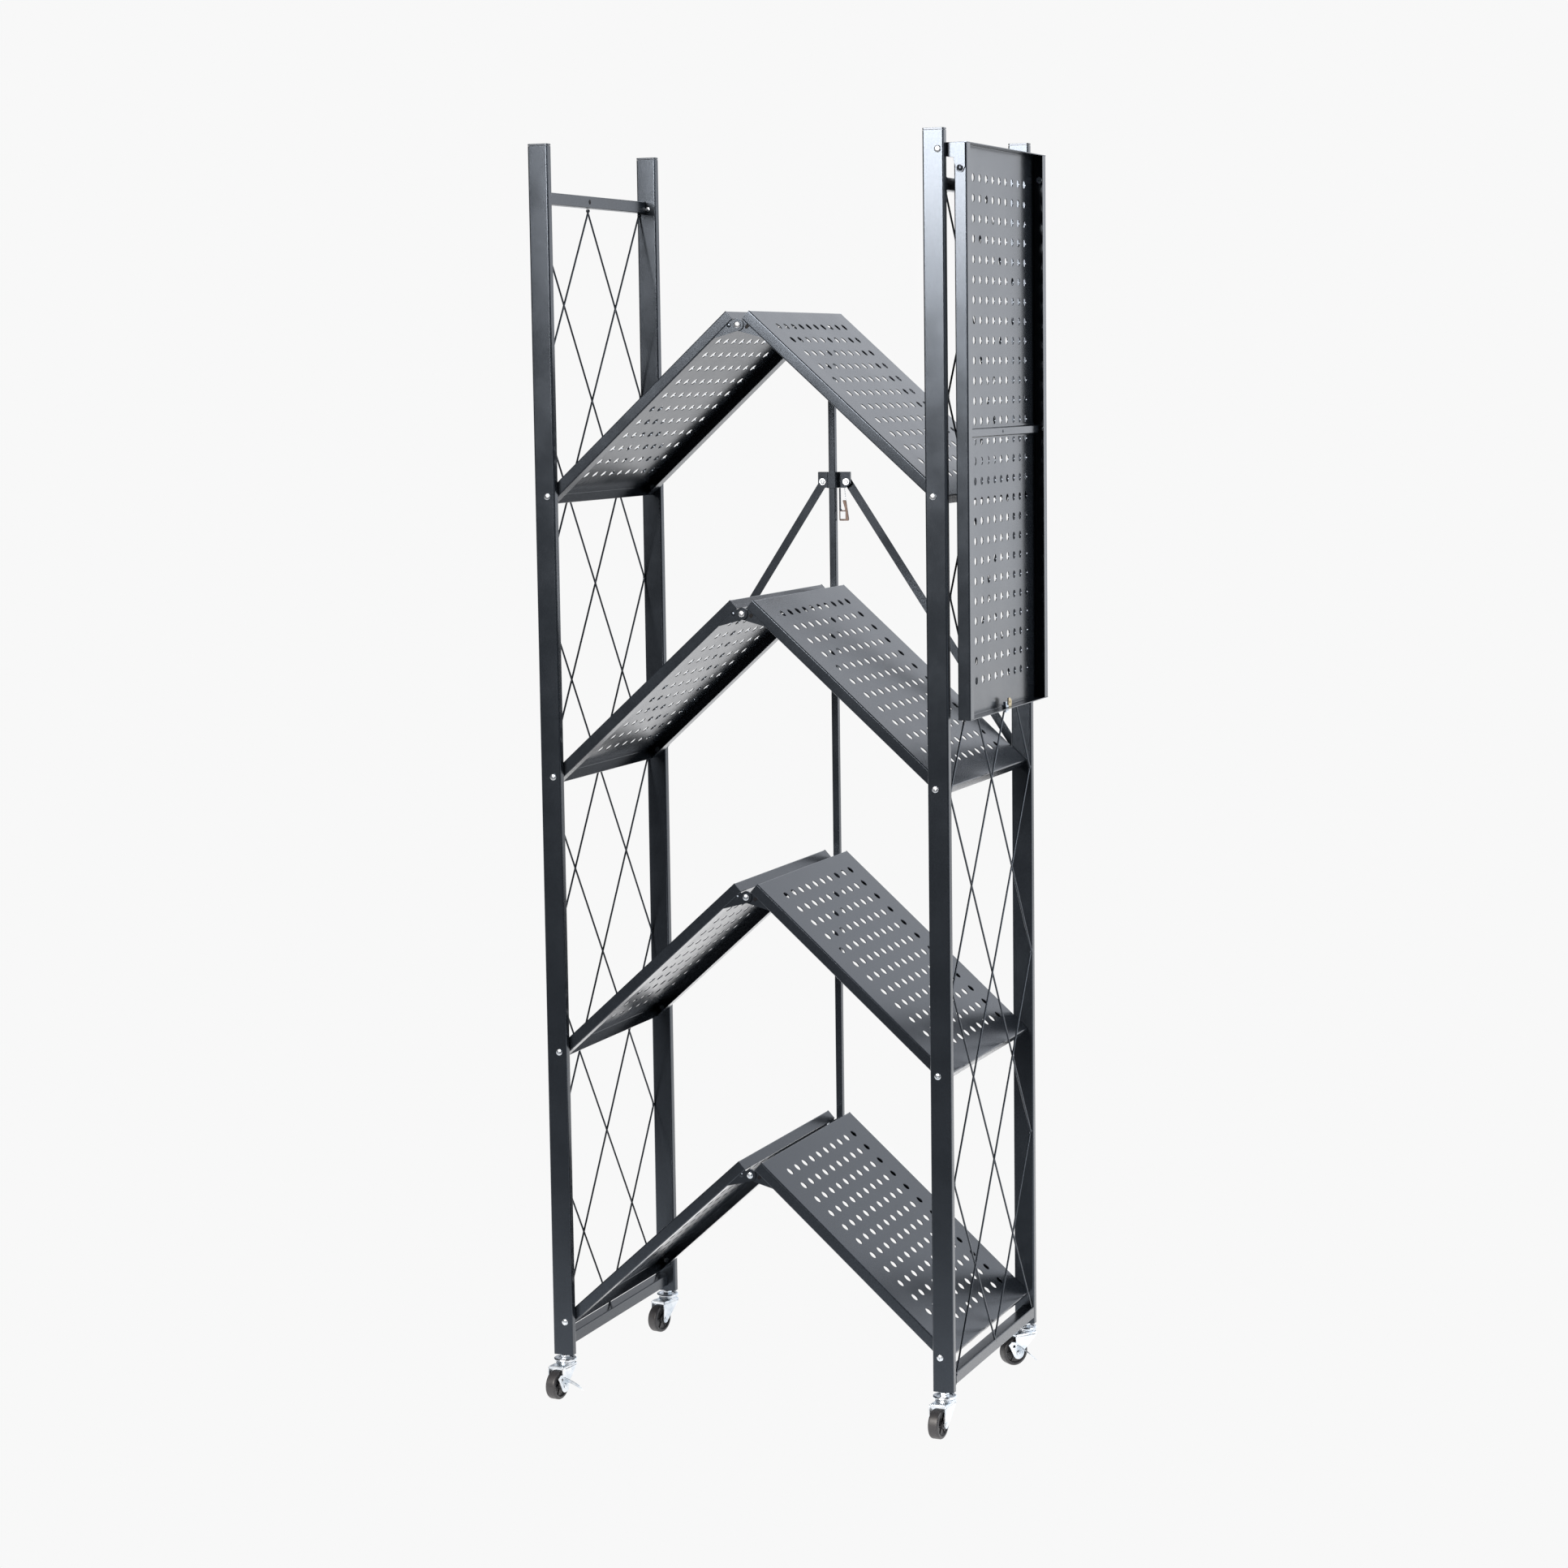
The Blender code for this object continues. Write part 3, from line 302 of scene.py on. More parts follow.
def turn(
    profile: Sequence[Point], sides: int, axis: Axis, centre: Sequence[float] = (0, 0, 0),
    ring: bool = False,
) -> Solid:
    """Return a turned form.

    Args:
        profile: radius and distance along the axis, from one end to the other.
        sides: number of facets around.
        axis: the axis of the form.
        centre: the point from which distances are counted.
        ring: True where the profile closes on itself and leaves a bore.

    Returns:
        The mesh, which without a bore is open where an end of the profile is off the axis.
    """
    places = {
        Axis.X: lambda p, q, along: (along, p, q),
        Axis.Y: lambda p, q, along: (q, along, p),
        Axis.Z: lambda p, q, along: (p, q, along),
    }
    bm = bmesh.new()
    rings = []
    for radius, along in profile:
        around = circle(0, 0, radius, sides) if radius > 0.0 else [(0.0, 0.0)]
        rings.append([
            bm.verts.new(Vector(centre) + Vector(places[axis](p, q, along))) for p, q in around
        ])
    pairs = list(zip(rings, rings[1:]))
    if ring:
        pairs.append((rings[-1], rings[0]))
    for one, two in pairs:
        bridge(bm, one, two)
    bmesh.ops.recalc_face_normals(bm, faces=list(bm.faces))
    return bm


def cylinder(
    radius: float, lo: float, hi: float, sides: int, axis: Axis,
    centre: Sequence[float] = (0, 0, 0),
) -> Solid:
    """Return a plain pin, disc or hexagon.

    Args:
        radius: radius of its corners.
        lo: where it starts along the axis, from the centre.
        hi: where it ends along the axis, from the centre.
        sides: number of facets around.
        axis: its axis.
        centre: the point from which lo and hi are counted.

    Returns:
        A closed mesh.
    """
    return turn([(0.0, lo), (radius, lo), (radius, hi), (0.0, hi)], sides, axis, centre)


def dome_head(radius: float, height: float, dimple: float = 0.3) -> list[Point]:
    """Return the profile of a rivet head that stands on its seat and has a small dimple.

    Args:
        radius: radius of the head.
        height: height of the head.
        dimple: depth of the dimple, as a share of the height.

    Returns:
        Radius and height of each point, from the rim to the middle.
    """
    crown = [
        (radius * math.cos(math.radians(a)), height * (0.25 + 0.75 * math.sin(math.radians(a))))
        for a in (20, 40, 60, 75)
    ]
    floor = height * (1 - dimple)
    return [(radius, 0.0), (radius, height * 0.25), *crown, (radius * 0.14, floor), (0.0, floor)]


def rivet(
    radius: float, height: float, foot: float, sides: int, axis: Axis, seat: Sequence[float],
    sign: float = 1, shank: bool = False,
) -> Solid:
    """Return a domed head on its seat.

    Args:
        radius: radius of the head.
        height: height of the head.
        foot: how far it reaches into its seat.
        sides: number of facets around.
        axis: its axis.
        seat: the point where it stands.
        sign: 1 where the head points along the axis, or -1.
        shank: True where the foot is as wide as the head, and not a cone.

    Returns:
        A closed mesh.
    """
    base = [(0.0, -foot), (radius, -foot)] if shank else [(0.0, -foot)]
    profile = [(r, sign * h) for r, h in [*base, *dome_head(radius, height)]]
    return turn(profile, sides, axis, seat)


def round_corners(points: Sequence[Vector], radius: float, steps: int) -> list[Vector]:
    """Return a path whose inner corners are bends.

    Args:
        points: corners of the path.
        radius: how far from a corner its bend starts.
        steps: number of steps in each bend.

    Returns:
        The points of the rounded path.
    """
    path = [points[0]]
    for before, corner, after in zip(points, points[1:], points[2:]):
        start = corner + (before - corner).normalized() * radius
        stop = corner + (after - corner).normalized() * radius
        for i in range(steps + 1):
            t = i / steps
            path.append(start * (1 - t) ** 2 + corner * 2 * t * (1 - t) + stop * t ** 2)
    path.append(points[-1])
    return path


def rod(points: Sequence[Vector], radius: float, sides: int) -> Solid:
    """Return a round wire along a path that runs across X, or nearly so.

    Args:
        points: the path.
        radius: radius of the wire.
        sides: number of facets around.

    Returns:
        A closed mesh.
    """
    bm = bmesh.new()
    across = Vector((1, 0, 0))
    rings = []
    for i, point in enumerate(points):
        ahead = points[min(i + 1, len(points) - 1)]
        behind = points[max(i - 1, 0)]
        side = (ahead - behind).normalized().cross(across)
        rings.append([
            bm.verts.new(point + across * p + side * q) for p, q in circle(0, 0, radius, sides)
        ])
    return loft(bm, rings)


def merge(parts: Sequence[Solid]) -> Solid:
    """Return one mesh that holds all of the parts.

    Args:
        parts: the meshes to join, which are used up.

    Returns:
        The new mesh.
    """
    whole = bmesh.new()
    for part in parts:
        spare = bpy.data.meshes.new("spare")
        part.to_mesh(spare)
        part.free()
        whole.from_mesh(spare)
        bpy.data.meshes.remove(spare)
    return whole


def shift(bm: Solid, matrix: Matrix) -> Solid:
    """Move a mesh by a matrix and keep its faces pointing out.

    Args:
        bm: the mesh.
        matrix: the move, which may mirror it.

    Returns:
        The same mesh.
    """
    bmesh.ops.transform(bm, matrix=matrix, verts=list(bm.verts))
    if matrix.determinant() < 0:
        bmesh.ops.reverse_faces(bm, faces=list(bm.faces))
    return bm


def smooth_mesh(bm: Solid, name: str, sharp: float) -> bpy.types.Mesh:
    """Return a smooth mesh made of a form, which is used up.

    Args:
        bm: the form.
        name: name of the mesh.
        sharp: angle in degrees over which an edge stays crisp.

    Returns:
        The mesh.
    """
    for edge in bm.edges:
        edge.smooth = edge.calc_face_angle(OPEN_EDGE_ANGLE) < math.radians(sharp)
    for face in bm.faces:
        face.smooth = True
    mesh = bpy.data.meshes.new(name)
    bm.to_mesh(mesh)
    bm.free()
    return mesh


# Shader nodes that more than one finish uses


def feed(tree: Any, value: Any, socket: Any) -> None:
    """Link or set an input socket.

    Args:
        tree: the node tree.
        value: another socket, a number or a colour.
        socket: the input socket.
    """
    if isinstance(value, bpy.types.NodeSocket):
        tree.links.new(value, socket)
    else:
        socket.default_value = value


def add_node(tree: Any, kind: str, output: str, **inputs: Any) -> Any:
    """Add a node, feed its inputs and return one of its outputs.

    Args:
        tree: the node tree.
        kind: the node's type.
        output: name of the output.
        inputs: a value or socket for each named input; a space in a name is written as _.

    Returns:
        The output socket.
    """
    node = tree.nodes.new(kind)
    for label, value in inputs.items():
        feed(tree, value, node.inputs[label.replace("_", " ")])
    return node.outputs[output]


def calculate(tree: Any, operation: str, *values: Any) -> Any:
    """Add a Math node.

    Args:
        tree: the node tree.
        operation: what the node does.
        values: a number or socket for each input.

    Returns:
        The output socket.
    """
    node = tree.nodes.new("ShaderNodeMath")
    node.operation = operation
    for i, value in enumerate(values):
        feed(tree, value, node.inputs[i])
    return node.outputs["Value"]


def mix_colours(tree: Any, factor: Any, first: Any, second: Any) -> Any:
    """Add a node that mixes two colours.

    Args:
        tree: the node tree.
        factor: 0 for the first colour and 1 for the second.
        first: a colour or socket.
        second: a colour or socket.

    Returns:
        The output socket.
    """
    node = tree.nodes.new("ShaderNodeMix")
    node.data_type = "RGBA"
    for label, value in (("Factor", factor), ("A", first), ("B", second)):
        feed(tree, value, node.inputs[label])
    return node.outputs["Result"]


def noise_value(tree: Any, vector: Any, scale: Any, detail: float, rough: float = 0.5) -> Any:
    """Add a noise texture.

    Args:
        tree: the node tree.
        vector: the socket that gives the place.
        scale: a number or socket.
        detail: number of finer layers.
        rough: strength of the finer layers.

    Returns:
        The output socket.
    """
    return add_node(
        tree, "ShaderNodeTexNoise", "Fac", Vector=vector, Scale=scale, Detail=detail, Roughness=rough
    )


def stretch(tree: Any, value: Any, low: float, high: float) -> Any:
    """Add a range node with soft ends that spreads low to high over 0 to 1.

    Args:
        tree: the node tree.
        value: the socket that varies.
        low: where the result is 0.
        high: where the result is 1.

    Returns:
        The output socket.
    """
    result = add_node(tree, "ShaderNodeMapRange", "Result", Value=value, From_Min=low, From_Max=high)
    result.node.interpolation_type = "SMOOTHSTEP"
    return result


def split(tree: Any, vector: Any) -> Any:
    """Add a node that splits a vector, and return its X, Y and Z sockets."""
    return add_node(tree, "ShaderNodeSeparateXYZ", "X", Vector=vector).node.outputs


def camera_ray(tree: Any) -> Any:
    """Return the socket that is 1 where the camera itself looks at the surface."""
    return tree.nodes.new("ShaderNodeLightPath").outputs["Is Camera Ray"]


def new_group(name: str, inputs: Sequence[tuple[str, float]], outputs: Sequence[str]) -> Any:
    """Return an empty shader group.

    Args:
        name: name of the group.
        inputs: name and default of each number that goes in.
        outputs: name of each number that comes out.

    Returns:
        The node tree, with its input and output nodes in place.
    """
    tree = bpy.data.node_groups.new(name, "ShaderNodeTree")
    for label, default in inputs:
        socket = tree.interface.new_socket(label, in_out="INPUT", socket_type="NodeSocketFloat")
        socket.default_value = default
    for label in outputs:
        tree.interface.new_socket(label, in_out="OUTPUT", socket_type="NodeSocketFloat")
    tree.nodes.new("NodeGroupInput")
    tree.nodes.new("NodeGroupOutput")
    return tree


def place_group(tree: Any, group_tree: Any, **values: float) -> Any:
    """Place a shader group with its own values.

    Args:
        tree: the material's tree.
        group_tree: the group.
        values: a number for each named input; a space in a name is written as _.

    Returns:
        The group's output sockets.
    """
    group = tree.nodes.new("ShaderNodeGroup")
    group.node_tree = group_tree
    for label, value in values.items():
        group.inputs[label.replace("_", " ")].default_value = value
    return group.outputs


def surface_grain_group() -> Any:
    """Return the group for the fine orange-peel grain of a sprayed or moulded surface.

    Returns:
        The node tree, built once and then shared.
    """
    name = "surface grain"
    if name in bpy.data.node_groups:
        return bpy.data.node_groups[name]
    tree = new_group(
        name, [("Scale", 900.0), ("Blotch Scale", 14.0)], ["Grain", "Blotch", "Height"]
    )
    source = tree.nodes["Group Input"].outputs
    sink = tree.nodes["Group Output"].inputs
    place = add_node(tree, "ShaderNodeTexCoord", "Object")
    fine = noise_value(tree, place, source["Scale"], 2.0)
    blotch = noise_value(tree, place, source["Blotch Scale"], 4.0, 0.6)
    feed(tree, stretch(tree, fine, 0.35, 0.68), sink["Grain"])
    feed(tree, stretch(tree, blotch, 0.3, 0.7), sink["Blotch"])
    feed(tree, fine, sink["Height"])
    return tree


def drawn_lines_group() -> Any:
    """Return the group for the faint drawn lines and clouding of plated steel.

    Returns:
        The node tree, built once and then shared.
    """
    name = "drawn lines"
    if name in bpy.data.node_groups:
        return bpy.data.node_groups[name]
    tree = new_group(name, [("Scale", 260.0)], ["Cloud", "Lines"])
    source = tree.nodes["Group Input"].outputs
    sink = tree.nodes["Group Output"].inputs
    place = add_node(tree, "ShaderNodeTexCoord", "Object")
    squeezed = add_node(tree, "ShaderNodeMapping", "Vector", Vector=place, Scale=(1.0, 1.0, 9.0))
    lines = noise_value(tree, squeezed, source["Scale"], 3.0)
    cloud = noise_value(tree, place, 90.0, 3.0)
    feed(tree, stretch(tree, cloud, 0.35, 0.65), sink["Cloud"])
    feed(tree, stretch(tree, lines, 0.3, 0.7), sink["Lines"])
    return tree


@dataclass(frozen=True)
class Finish:
    """What every finish shares: a name, the record's slot and two colours that it mixes."""

    name: str
    slot: str
    dark: Colour
    light: Colour

    def start(self) -> tuple[bpy.types.Material, Any]:
        """Start a material that previews in the darker colour.

        Returns:
            The material and its Principled shader.
        """
        mat = bpy.data.materials.new(self.name)
        mat.use_nodes = True
        mat.diffuse_color = (*self.dark, 1.0)
        return mat, mat.node_tree.nodes["Principled BSDF"]

    def colour(self, tree: Any, mask: Any, shader: Any) -> None:
        """Feed Base Color with the two colours mixed by a mask."""
        mixed = mix_colours(tree, mask, (*self.dark, 1.0), (*self.light, 1.0))
        feed(tree, mixed, shader.inputs["Base Color"])

    def gloss(self, tree: Any, mask: Any, shader: Any, limits: Point) -> None:
        """Feed Roughness with a range that follows a mask.

        Args:
            tree: the material's tree.
            mask: the socket that varies.
            shader: the Principled shader.
            limits: the roughness where the mask is 0 and where it is 1.
        """
        ranged = add_node(
            tree, "ShaderNodeMapRange", "Result", Value=mask, To_Min=limits[0], To_Max=limits[1]
        )
        feed(tree, ranged, shader.inputs["Roughness"])

    def bump(self, tree: Any, height: Any, shader: Any, strength: float, depth: float) -> None:
        """Feed Normal with a bump.

        Args:
            tree: the material's tree.
            height: the socket that varies.
            shader: the Principled shader.
            strength: strength of the bump.
            depth: its greatest depth.
        """
        normal = add_node(
            tree, "ShaderNodeBump", "Normal", Height=height, Strength=strength, Distance=depth
        )
        feed(tree, normal, shader.inputs["Normal"])


@dataclass(frozen=True)
class SprayedFinish(Finish):
    """Powder coat or moulded plastic: grain, soft blotches and a fine bump."""

    grain_scale: float = 900.0
    blotch_scale: float = 14.0
    grain_share: float = 0.65
    blotch_share: float = 0.35
    roughness: Point = (0.38, 0.52)
    bump_strength: float = 0.6
    bump_depth: float = 0.00025
    metallic: float = 0.0
    specular: float = 0.5

    def build(self) -> bpy.types.Material:
        """Build the material.

        Returns:
            The finished material.
        """
        mat, shader = self.start()
        tree = mat.node_tree
        group = place_group(
            tree, surface_grain_group(), Scale=self.grain_scale, Blotch_Scale=self.blotch_scale
        )
        soft = calculate(tree, "MULTIPLY", group["Blotch"], self.blotch_share)
        blend = calculate(tree, "MULTIPLY_ADD", group["Grain"], self.grain_share, soft)
        self.colour(tree, blend, shader)
        self.gloss(tree, group["Blotch"], shader, self.roughness)
        self.bump(tree, group["Height"], shader, self.bump_strength, self.bump_depth)
        shader.inputs["Metallic"].default_value = self.metallic
        shader.inputs["Specular IOR Level"].default_value = self.specular
        return mat


@dataclass(frozen=True)
class PlatedFinish(Finish):
    """Plated or drawn metal: clouded colour and faint lines."""

    line_scale: float = 260.0
    roughness: Point = (0.22, 0.36)
    bump_strength: float = 0.35
    bump_depth: float = 0.00008

    def build(self) -> bpy.types.Material:
        """Build the material.

        Returns:
            The finished material.
        """
        mat, shader = self.start()
        tree = mat.node_tree
        group = place_group(tree, drawn_lines_group(), Scale=self.line_scale)
        self.colour(tree, group["Cloud"], shader)
        self.gloss(tree, group["Cloud"], shader, self.roughness)
        self.bump(tree, group["Lines"], shader, self.bump_strength, self.bump_depth)
        shader.inputs["Metallic"].default_value = 1.0
        return mat


@dataclass
class Paintbox:
    """The finishes of the rack, each built once."""

    coat: bpy.types.Material = field(init=False)
    cap: bpy.types.Material = field(init=False)
    black: bpy.types.Material = field(init=False)
    zinc: bpy.types.Material = field(init=False)
    yellow: bpy.types.Material = field(init=False)
    spring: bpy.types.Material = field(init=False)
    tyre: bpy.types.Material = field(init=False)
    slots: dict[str, str] = field(default_factory=dict)

    def __post_init__(self) -> None:
        """Build the materials."""
        finishes = {
            "coat": SprayedFinish(
                "charcoal powder coat", "charcoal_paint", (0.024, 0.030, 0.038),
                (0.034, 0.042, 0.053), grain_scale=620.0, roughness=(0.2, 0.245),
                bump_depth=0.00002, metallic=0.7,
            ),
            "cap": SprayedFinish(
                "charcoal moulded cap", "black_plastic", (0.023, 0.028, 0.036),
                (0.033, 0.041, 0.051), grain_scale=1400.0, roughness=(0.2, 0.26),
                bump_depth=0.00002, metallic=0.6,
            ),
            # Black moulding for the keeper socket; the same black also fills the inner ears' slots as
            # painted shade
            "black": SprayedFinish(
                "black moulding", "black_plastic", (0.004, 0.004, 0.005),
                (0.010, 0.010, 0.011), grain_scale=1400.0, roughness=(0.42, 0.5), specular=0.06,
            ),
            "zinc": PlatedFinish(
                "bright zinc", "zinc_plate", (0.52, 0.57, 0.62), (0.68, 0.71, 0.74),
                roughness=(0.27, 0.34), bump_depth=0.00002,
            ),
            "yellow": PlatedFinish(
                "yellow passivate", "yellow_zinc", (0.36, 0.29, 0.16), (0.52, 0.44, 0.27),
                roughness=(0.28, 0.4),
            ),
            "spring": PlatedFinish(
                "tempered spring strip", "spring_steel", (0.045, 0.034, 0.029),
                (0.09, 0.069, 0.060), roughness=(0.32, 0.45), bump_depth=0.00003,
            ),
            "tyre": SprayedFinish(
                "black wheel plastic", "tyre_plastic", (0.019, 0.019, 0.021),
                (0.031, 0.031, 0.034), blotch_scale=40.0, roughness=(0.38, 0.5),
                bump_depth=0.00010,
            ),
        }
        for label, finish in finishes.items():
            material = finish.build()
            setattr(self, label, material)
            self.slots[material.name] = finish.slot


@dataclass
class Workshop:
    """Turns meshes into pieces that ride on the frame's bodies."""

    paints: Paintbox
    bevel_angle: float = 40.0
    names: list[str] = field(default_factory=list)

    def add(
        self, name: str, bm: Solid, material: bpy.types.Material, body: str,
        replaces: Sequence[str] = (), bevel: float = 0.0, sharp: float = 38.0,
    ) -> None:
        """Add a piece.

        Args:
            name: name of the piece.
            bm: its form, in the frame's own coordinates; it is used up.
            material: its finish.
            body: the body that it rides on.
            replaces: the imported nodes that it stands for.
            bevel: width of the rounding on its sharp edges, or 0.
            sharp: angle in degrees over which an edge stays crisp.
        """
        self.add_mesh(name, smooth_mesh(bm, name, sharp), material, body, replaces, bevel)

    def add_mesh(
        self, name: str, mesh: bpy.types.Mesh, material: bpy.types.Material, body: str,
        replaces: Sequence[str] = (), bevel: float = 0.0, matrix: Matrix | None = None,
    ) -> None:
        """Add a piece from a finished mesh.

        Args:
            name: name of the piece.
            mesh: its mesh, which other pieces may share.
            material: its finish.
            body: the body that it rides on.
            replaces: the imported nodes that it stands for.
            bevel: width of the rounding on its sharp edges, or 0.
            matrix: where the mesh goes, if it isn't drawn in place.
        """
        if not mesh.materials:
            mesh.materials.append(material)
        piece = bpy.data.objects.new(name, mesh)
        bpy.context.scene.collection.objects.link(piece)
        if matrix is not None:
            piece.matrix_world = matrix
        if bevel:
            rounding = piece.modifiers.new("soft edges", "BEVEL")
            rounding.width = bevel
            rounding.segments = 2
            rounding.limit_method = "ANGLE"
            rounding.angle_limit = math.radians(self.bevel_angle)
        flats = piece.modifiers.new("flat faces", "WEIGHTED_NORMAL")
        flats.keep_sharp = True
        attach(piece, body)
        if replaces:
            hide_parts(*replaces)
        self.paints.slots[material.name]
        self.names.append(name)
        LOG.info("piece %s rides %s", name, body)


@dataclass
class Layout:
    """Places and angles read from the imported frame."""

    joints: dict[str, dict[str, Any]]
    post_depth: float = 0.012
    post_width: float = 0.027
    pivot_inset: float = 0.0035
    pin_drop: float = 0.0155
    fit: float = 0.0003
    levels: int = 4

    def place(self, joint: str) -> Vector:
        """Return a joint's point."""
        return Vector(self.joints[joint]["pos_m"])

    def mid(self, level: int) -> Vector:
        """Return the middle hinge of a shelf, counted from the top."""
        return self.place(f"middle_hinge_{level}")

    def left_pivot(self, level: int) -> Vector:
        """Return the left outer pivot of a shelf."""
        return self.place("fold" if level == 1 else f"left_half_{level}_fold")

    @property
    def middle(self) -> Vector:
        """The rack's middle on the floor."""
        point = self.mid(1)
        return Vector((point.x, point.y, 0.0))

    @property
    def pivot_x(self) -> float:
        """Distance of an outer pivot from the middle."""
        return self.mid(1).x - self.left_pivot(1).x

    @property
    def post_x(self) -> float:
        """Distance of a post's centre from the middle."""
        return self.pivot_x + self.pivot_inset

    @property
    def inner(self) -> float:
        """Distance of a post's inner face from the middle, along Y."""
        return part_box("left_bottom_rail")[1].y - self.middle.y + self.fit

    @property
    def outer(self) -> float:
        """Distance of a post's outer face from the middle, along Y."""
        return self.inner + self.post_depth

    @property
    def link(self) -> float:
        """Distance from an outer pivot to the middle hinge."""
        return (self.mid(1) - self.left_pivot(1)).length

    @property
    def lean(self) -> float:
        """Angle between a leaf's sheet and the line through its hinges."""
        return math.asin(self.pin_drop / self.link)

    @property
    def span(self) -> float:
        """Length of a leaf from its outer pivot to the middle."""
        return self.link * math.cos(self.lean)

    @property
    def tilt(self) -> float:
        """Slope of the leaves at rest."""
        step = self.mid(1) - self.left_pivot(1)
        return math.atan2(step.z, step.x) + self.lean


@dataclass
class Assembly:
    """What every sub-assembly shares: the workshop that adds its pieces, and the layout."""

    shop: Workshop
    layout: Layout

    @property
    def paints(self) -> Paintbox:
        """The finishes."""
        return self.shop.paints


@dataclass
class SideFrame(Assembly):
    """One welded side frame: posts, caps, rails, wires, weld beads and screws."""

    hand: Hand
    edge_radius: float = 0.0022
    wall: float = 0.0012
    bore_radius: float = 0.0005
    cap_depth: float = 0.001
    plug_radius: float = 0.0006
    rail_radius: float = 0.0014
    rail_widening: float = 0.004
    rail_lifts: Point = (0.0055, 0.0057)
    bead_radius: float = 0.0013
    beads: int = 7
    wire_radius: float = 0.00125
    wire_inset: float = 0.0021
    wire_bend: float = 0.006
    wire_steps: int = 6
    screw_radius: float = 0.0043
    screw_height: float = 0.0019
    screw_foot: float = 0.0004
    shank_radius: float = 0.0026
    shank_length: float = 0.013
    nut_radius: float = 0.0042
    nut_height: float = 0.0022
    nut_chamfer: float = 0.0006
    leaf_gap: float = 0.0015
    arm_level: int = 2
    spacer_radius: float = 0.0036
    spacer_height: float = 0.0022
    arm_head_inset: float = 0.0018

    @property
    def word(self) -> str:
        """Left or right, in lower case."""
        return self.hand.word

    @property
    def body(self) -> str:
        """The body of this side frame."""
        return f"{self.word}_frame"

    @property
    def x(self) -> float:
        """Centre line of the posts."""
        return self.layout.middle.x + self.hand.value * self.layout.post_x

    def build_post(self, side: Side) -> None:
        """Add one post with its cap.

        Args:
            side: front or rear.
        """
        node = f"{side.word}_{self.word}_post"
        low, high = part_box(node)
        half_w = self.layout.post_width / 2
        half_d = self.layout.post_depth / 2
        y = self.layout.middle.y + side.value * (self.layout.outer - half_d)
        bounds = (self.x - half_w, self.x + half_w, y - half_d, y + half_d)
        tube = square_tube(
            bounds, self.edge_radius, self.bore_radius, self.wall, low.z, high.z, Plane.XY
        )
        self.shop.add(f"{node}_tube", tube, self.paints.coat, self.body, [node])
        cap = f"{side.word}_{self.word}_cap"
        cap_low, cap_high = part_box(cap)
        plate = extrude(
            rounded(*bounds, self.edge_radius, 4), high.z + 2 * self.layout.fit, cap_high.z, Plane.XY
        )
        plug = extrude(
            rounded(*bounds, self.plug_radius, 2, self.wall + self.layout.fit),
            cap_low.z, cap_high.z - self.cap_depth, Plane.XY,
        )
        self.shop.add(f"{cap}_moulding", merge([plate, plug]), self.paints.cap, self.body, [cap],
                      bevel=0.0006)

    def build_screws(self, side: Side) -> None:
        """Add the domed screws that carry the leaves on one post.

        Args:
            side: front or rear.
        """
        sign = side.value
        face = self.layout.middle.y + sign * self.layout.outer
        inner = self.layout.middle.y + sign * (self.layout.inner - self.leaf_gap - self.layout.fit)
        x = self.layout.middle.x + self.hand.value * self.layout.pivot_x
        nut = [
            (0.0, self.nut_height), (self.nut_radius - self.nut_chamfer, self.nut_height),
            (self.nut_radius, self.nut_height - self.nut_chamfer), (self.nut_radius, 0.0), (0.0, 0.0),
        ]
        parts = []
        for level in range(1, self.layout.levels + 1):
            z = self.layout.left_pivot(level).z
            seat = face
            if side is Side.REAR and level == self.arm_level:
                # A spacer and a longer shank hold a brace arm outside this post
                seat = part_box(f"{side.word}_{self.word}_post")[1].y - self.arm_head_inset
                for radius, start, stop, sides in (
                    (self.spacer_radius, face - self.screw_foot, face + self.spacer_height, 20),
                    (self.shank_radius, face, seat + self.screw_foot, 16),
                ):
                    parts.append(turn([(radius, start), (radius, stop)], sides, Axis.Y, (x, 0, z)))
            parts.append(rivet(
                self.screw_radius, self.screw_height, self.screw_foot, 24, Axis.Y, (x, seat, z), sign
            ))
            parts.append(turn([(r, -sign * h) for r, h in nut], 6, Axis.Y, (x, inner, z)))
            start = min(inner, face - self.screw_foot * sign)
            parts.append(cylinder(
                self.shank_radius, 0.0, self.shank_length, 14, Axis.Y, (x, start, z)
            ))
        self.shop.add(f"{side.word}_{self.word}_pivot_screws", merge(parts), self.paints.zinc,
                      self.body)

    def build_rail(self, node: str, low: Vector, high: Vector) -> None:
        """Add one rail, with the weld beads at its ends.

        Args:
            node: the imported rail.
            low: its lower corner.
            high: its upper corner.
        """
        reach = self.layout.inner - self.layout.fit
        y = self.layout.middle.y
        tube = square_tube(
            (low.x, high.x, low.z, high.z), self.rail_radius, self.bore_radius, self.wall,
            y - reach, y + reach, Plane.XZ,
        )
        self.shop.add(f"{node}_tube", tube, self.paints.coat, self.body, [node])
        bead = [(0, -0.0011), (0.0011, -0.0006), (self.bead_radius, 0), (0.0011, 0.0006), (0, 0.0011)]
        run = high.x - low.x - 0.002
        spots = [
            (low.x + 0.001 + run * i / (self.beads - 1), y + side.value * (reach - 0.0002), z)
            for side in Side
            for z in (low.z + 0.0006, high.z - 0.0006)
            for i in range(self.beads)
        ]
        self.shop.add(f"{node}_welds", merge([turn(bead, 8, Axis.X, place) for place in spots]),
                      self.paints.coat, self.body)

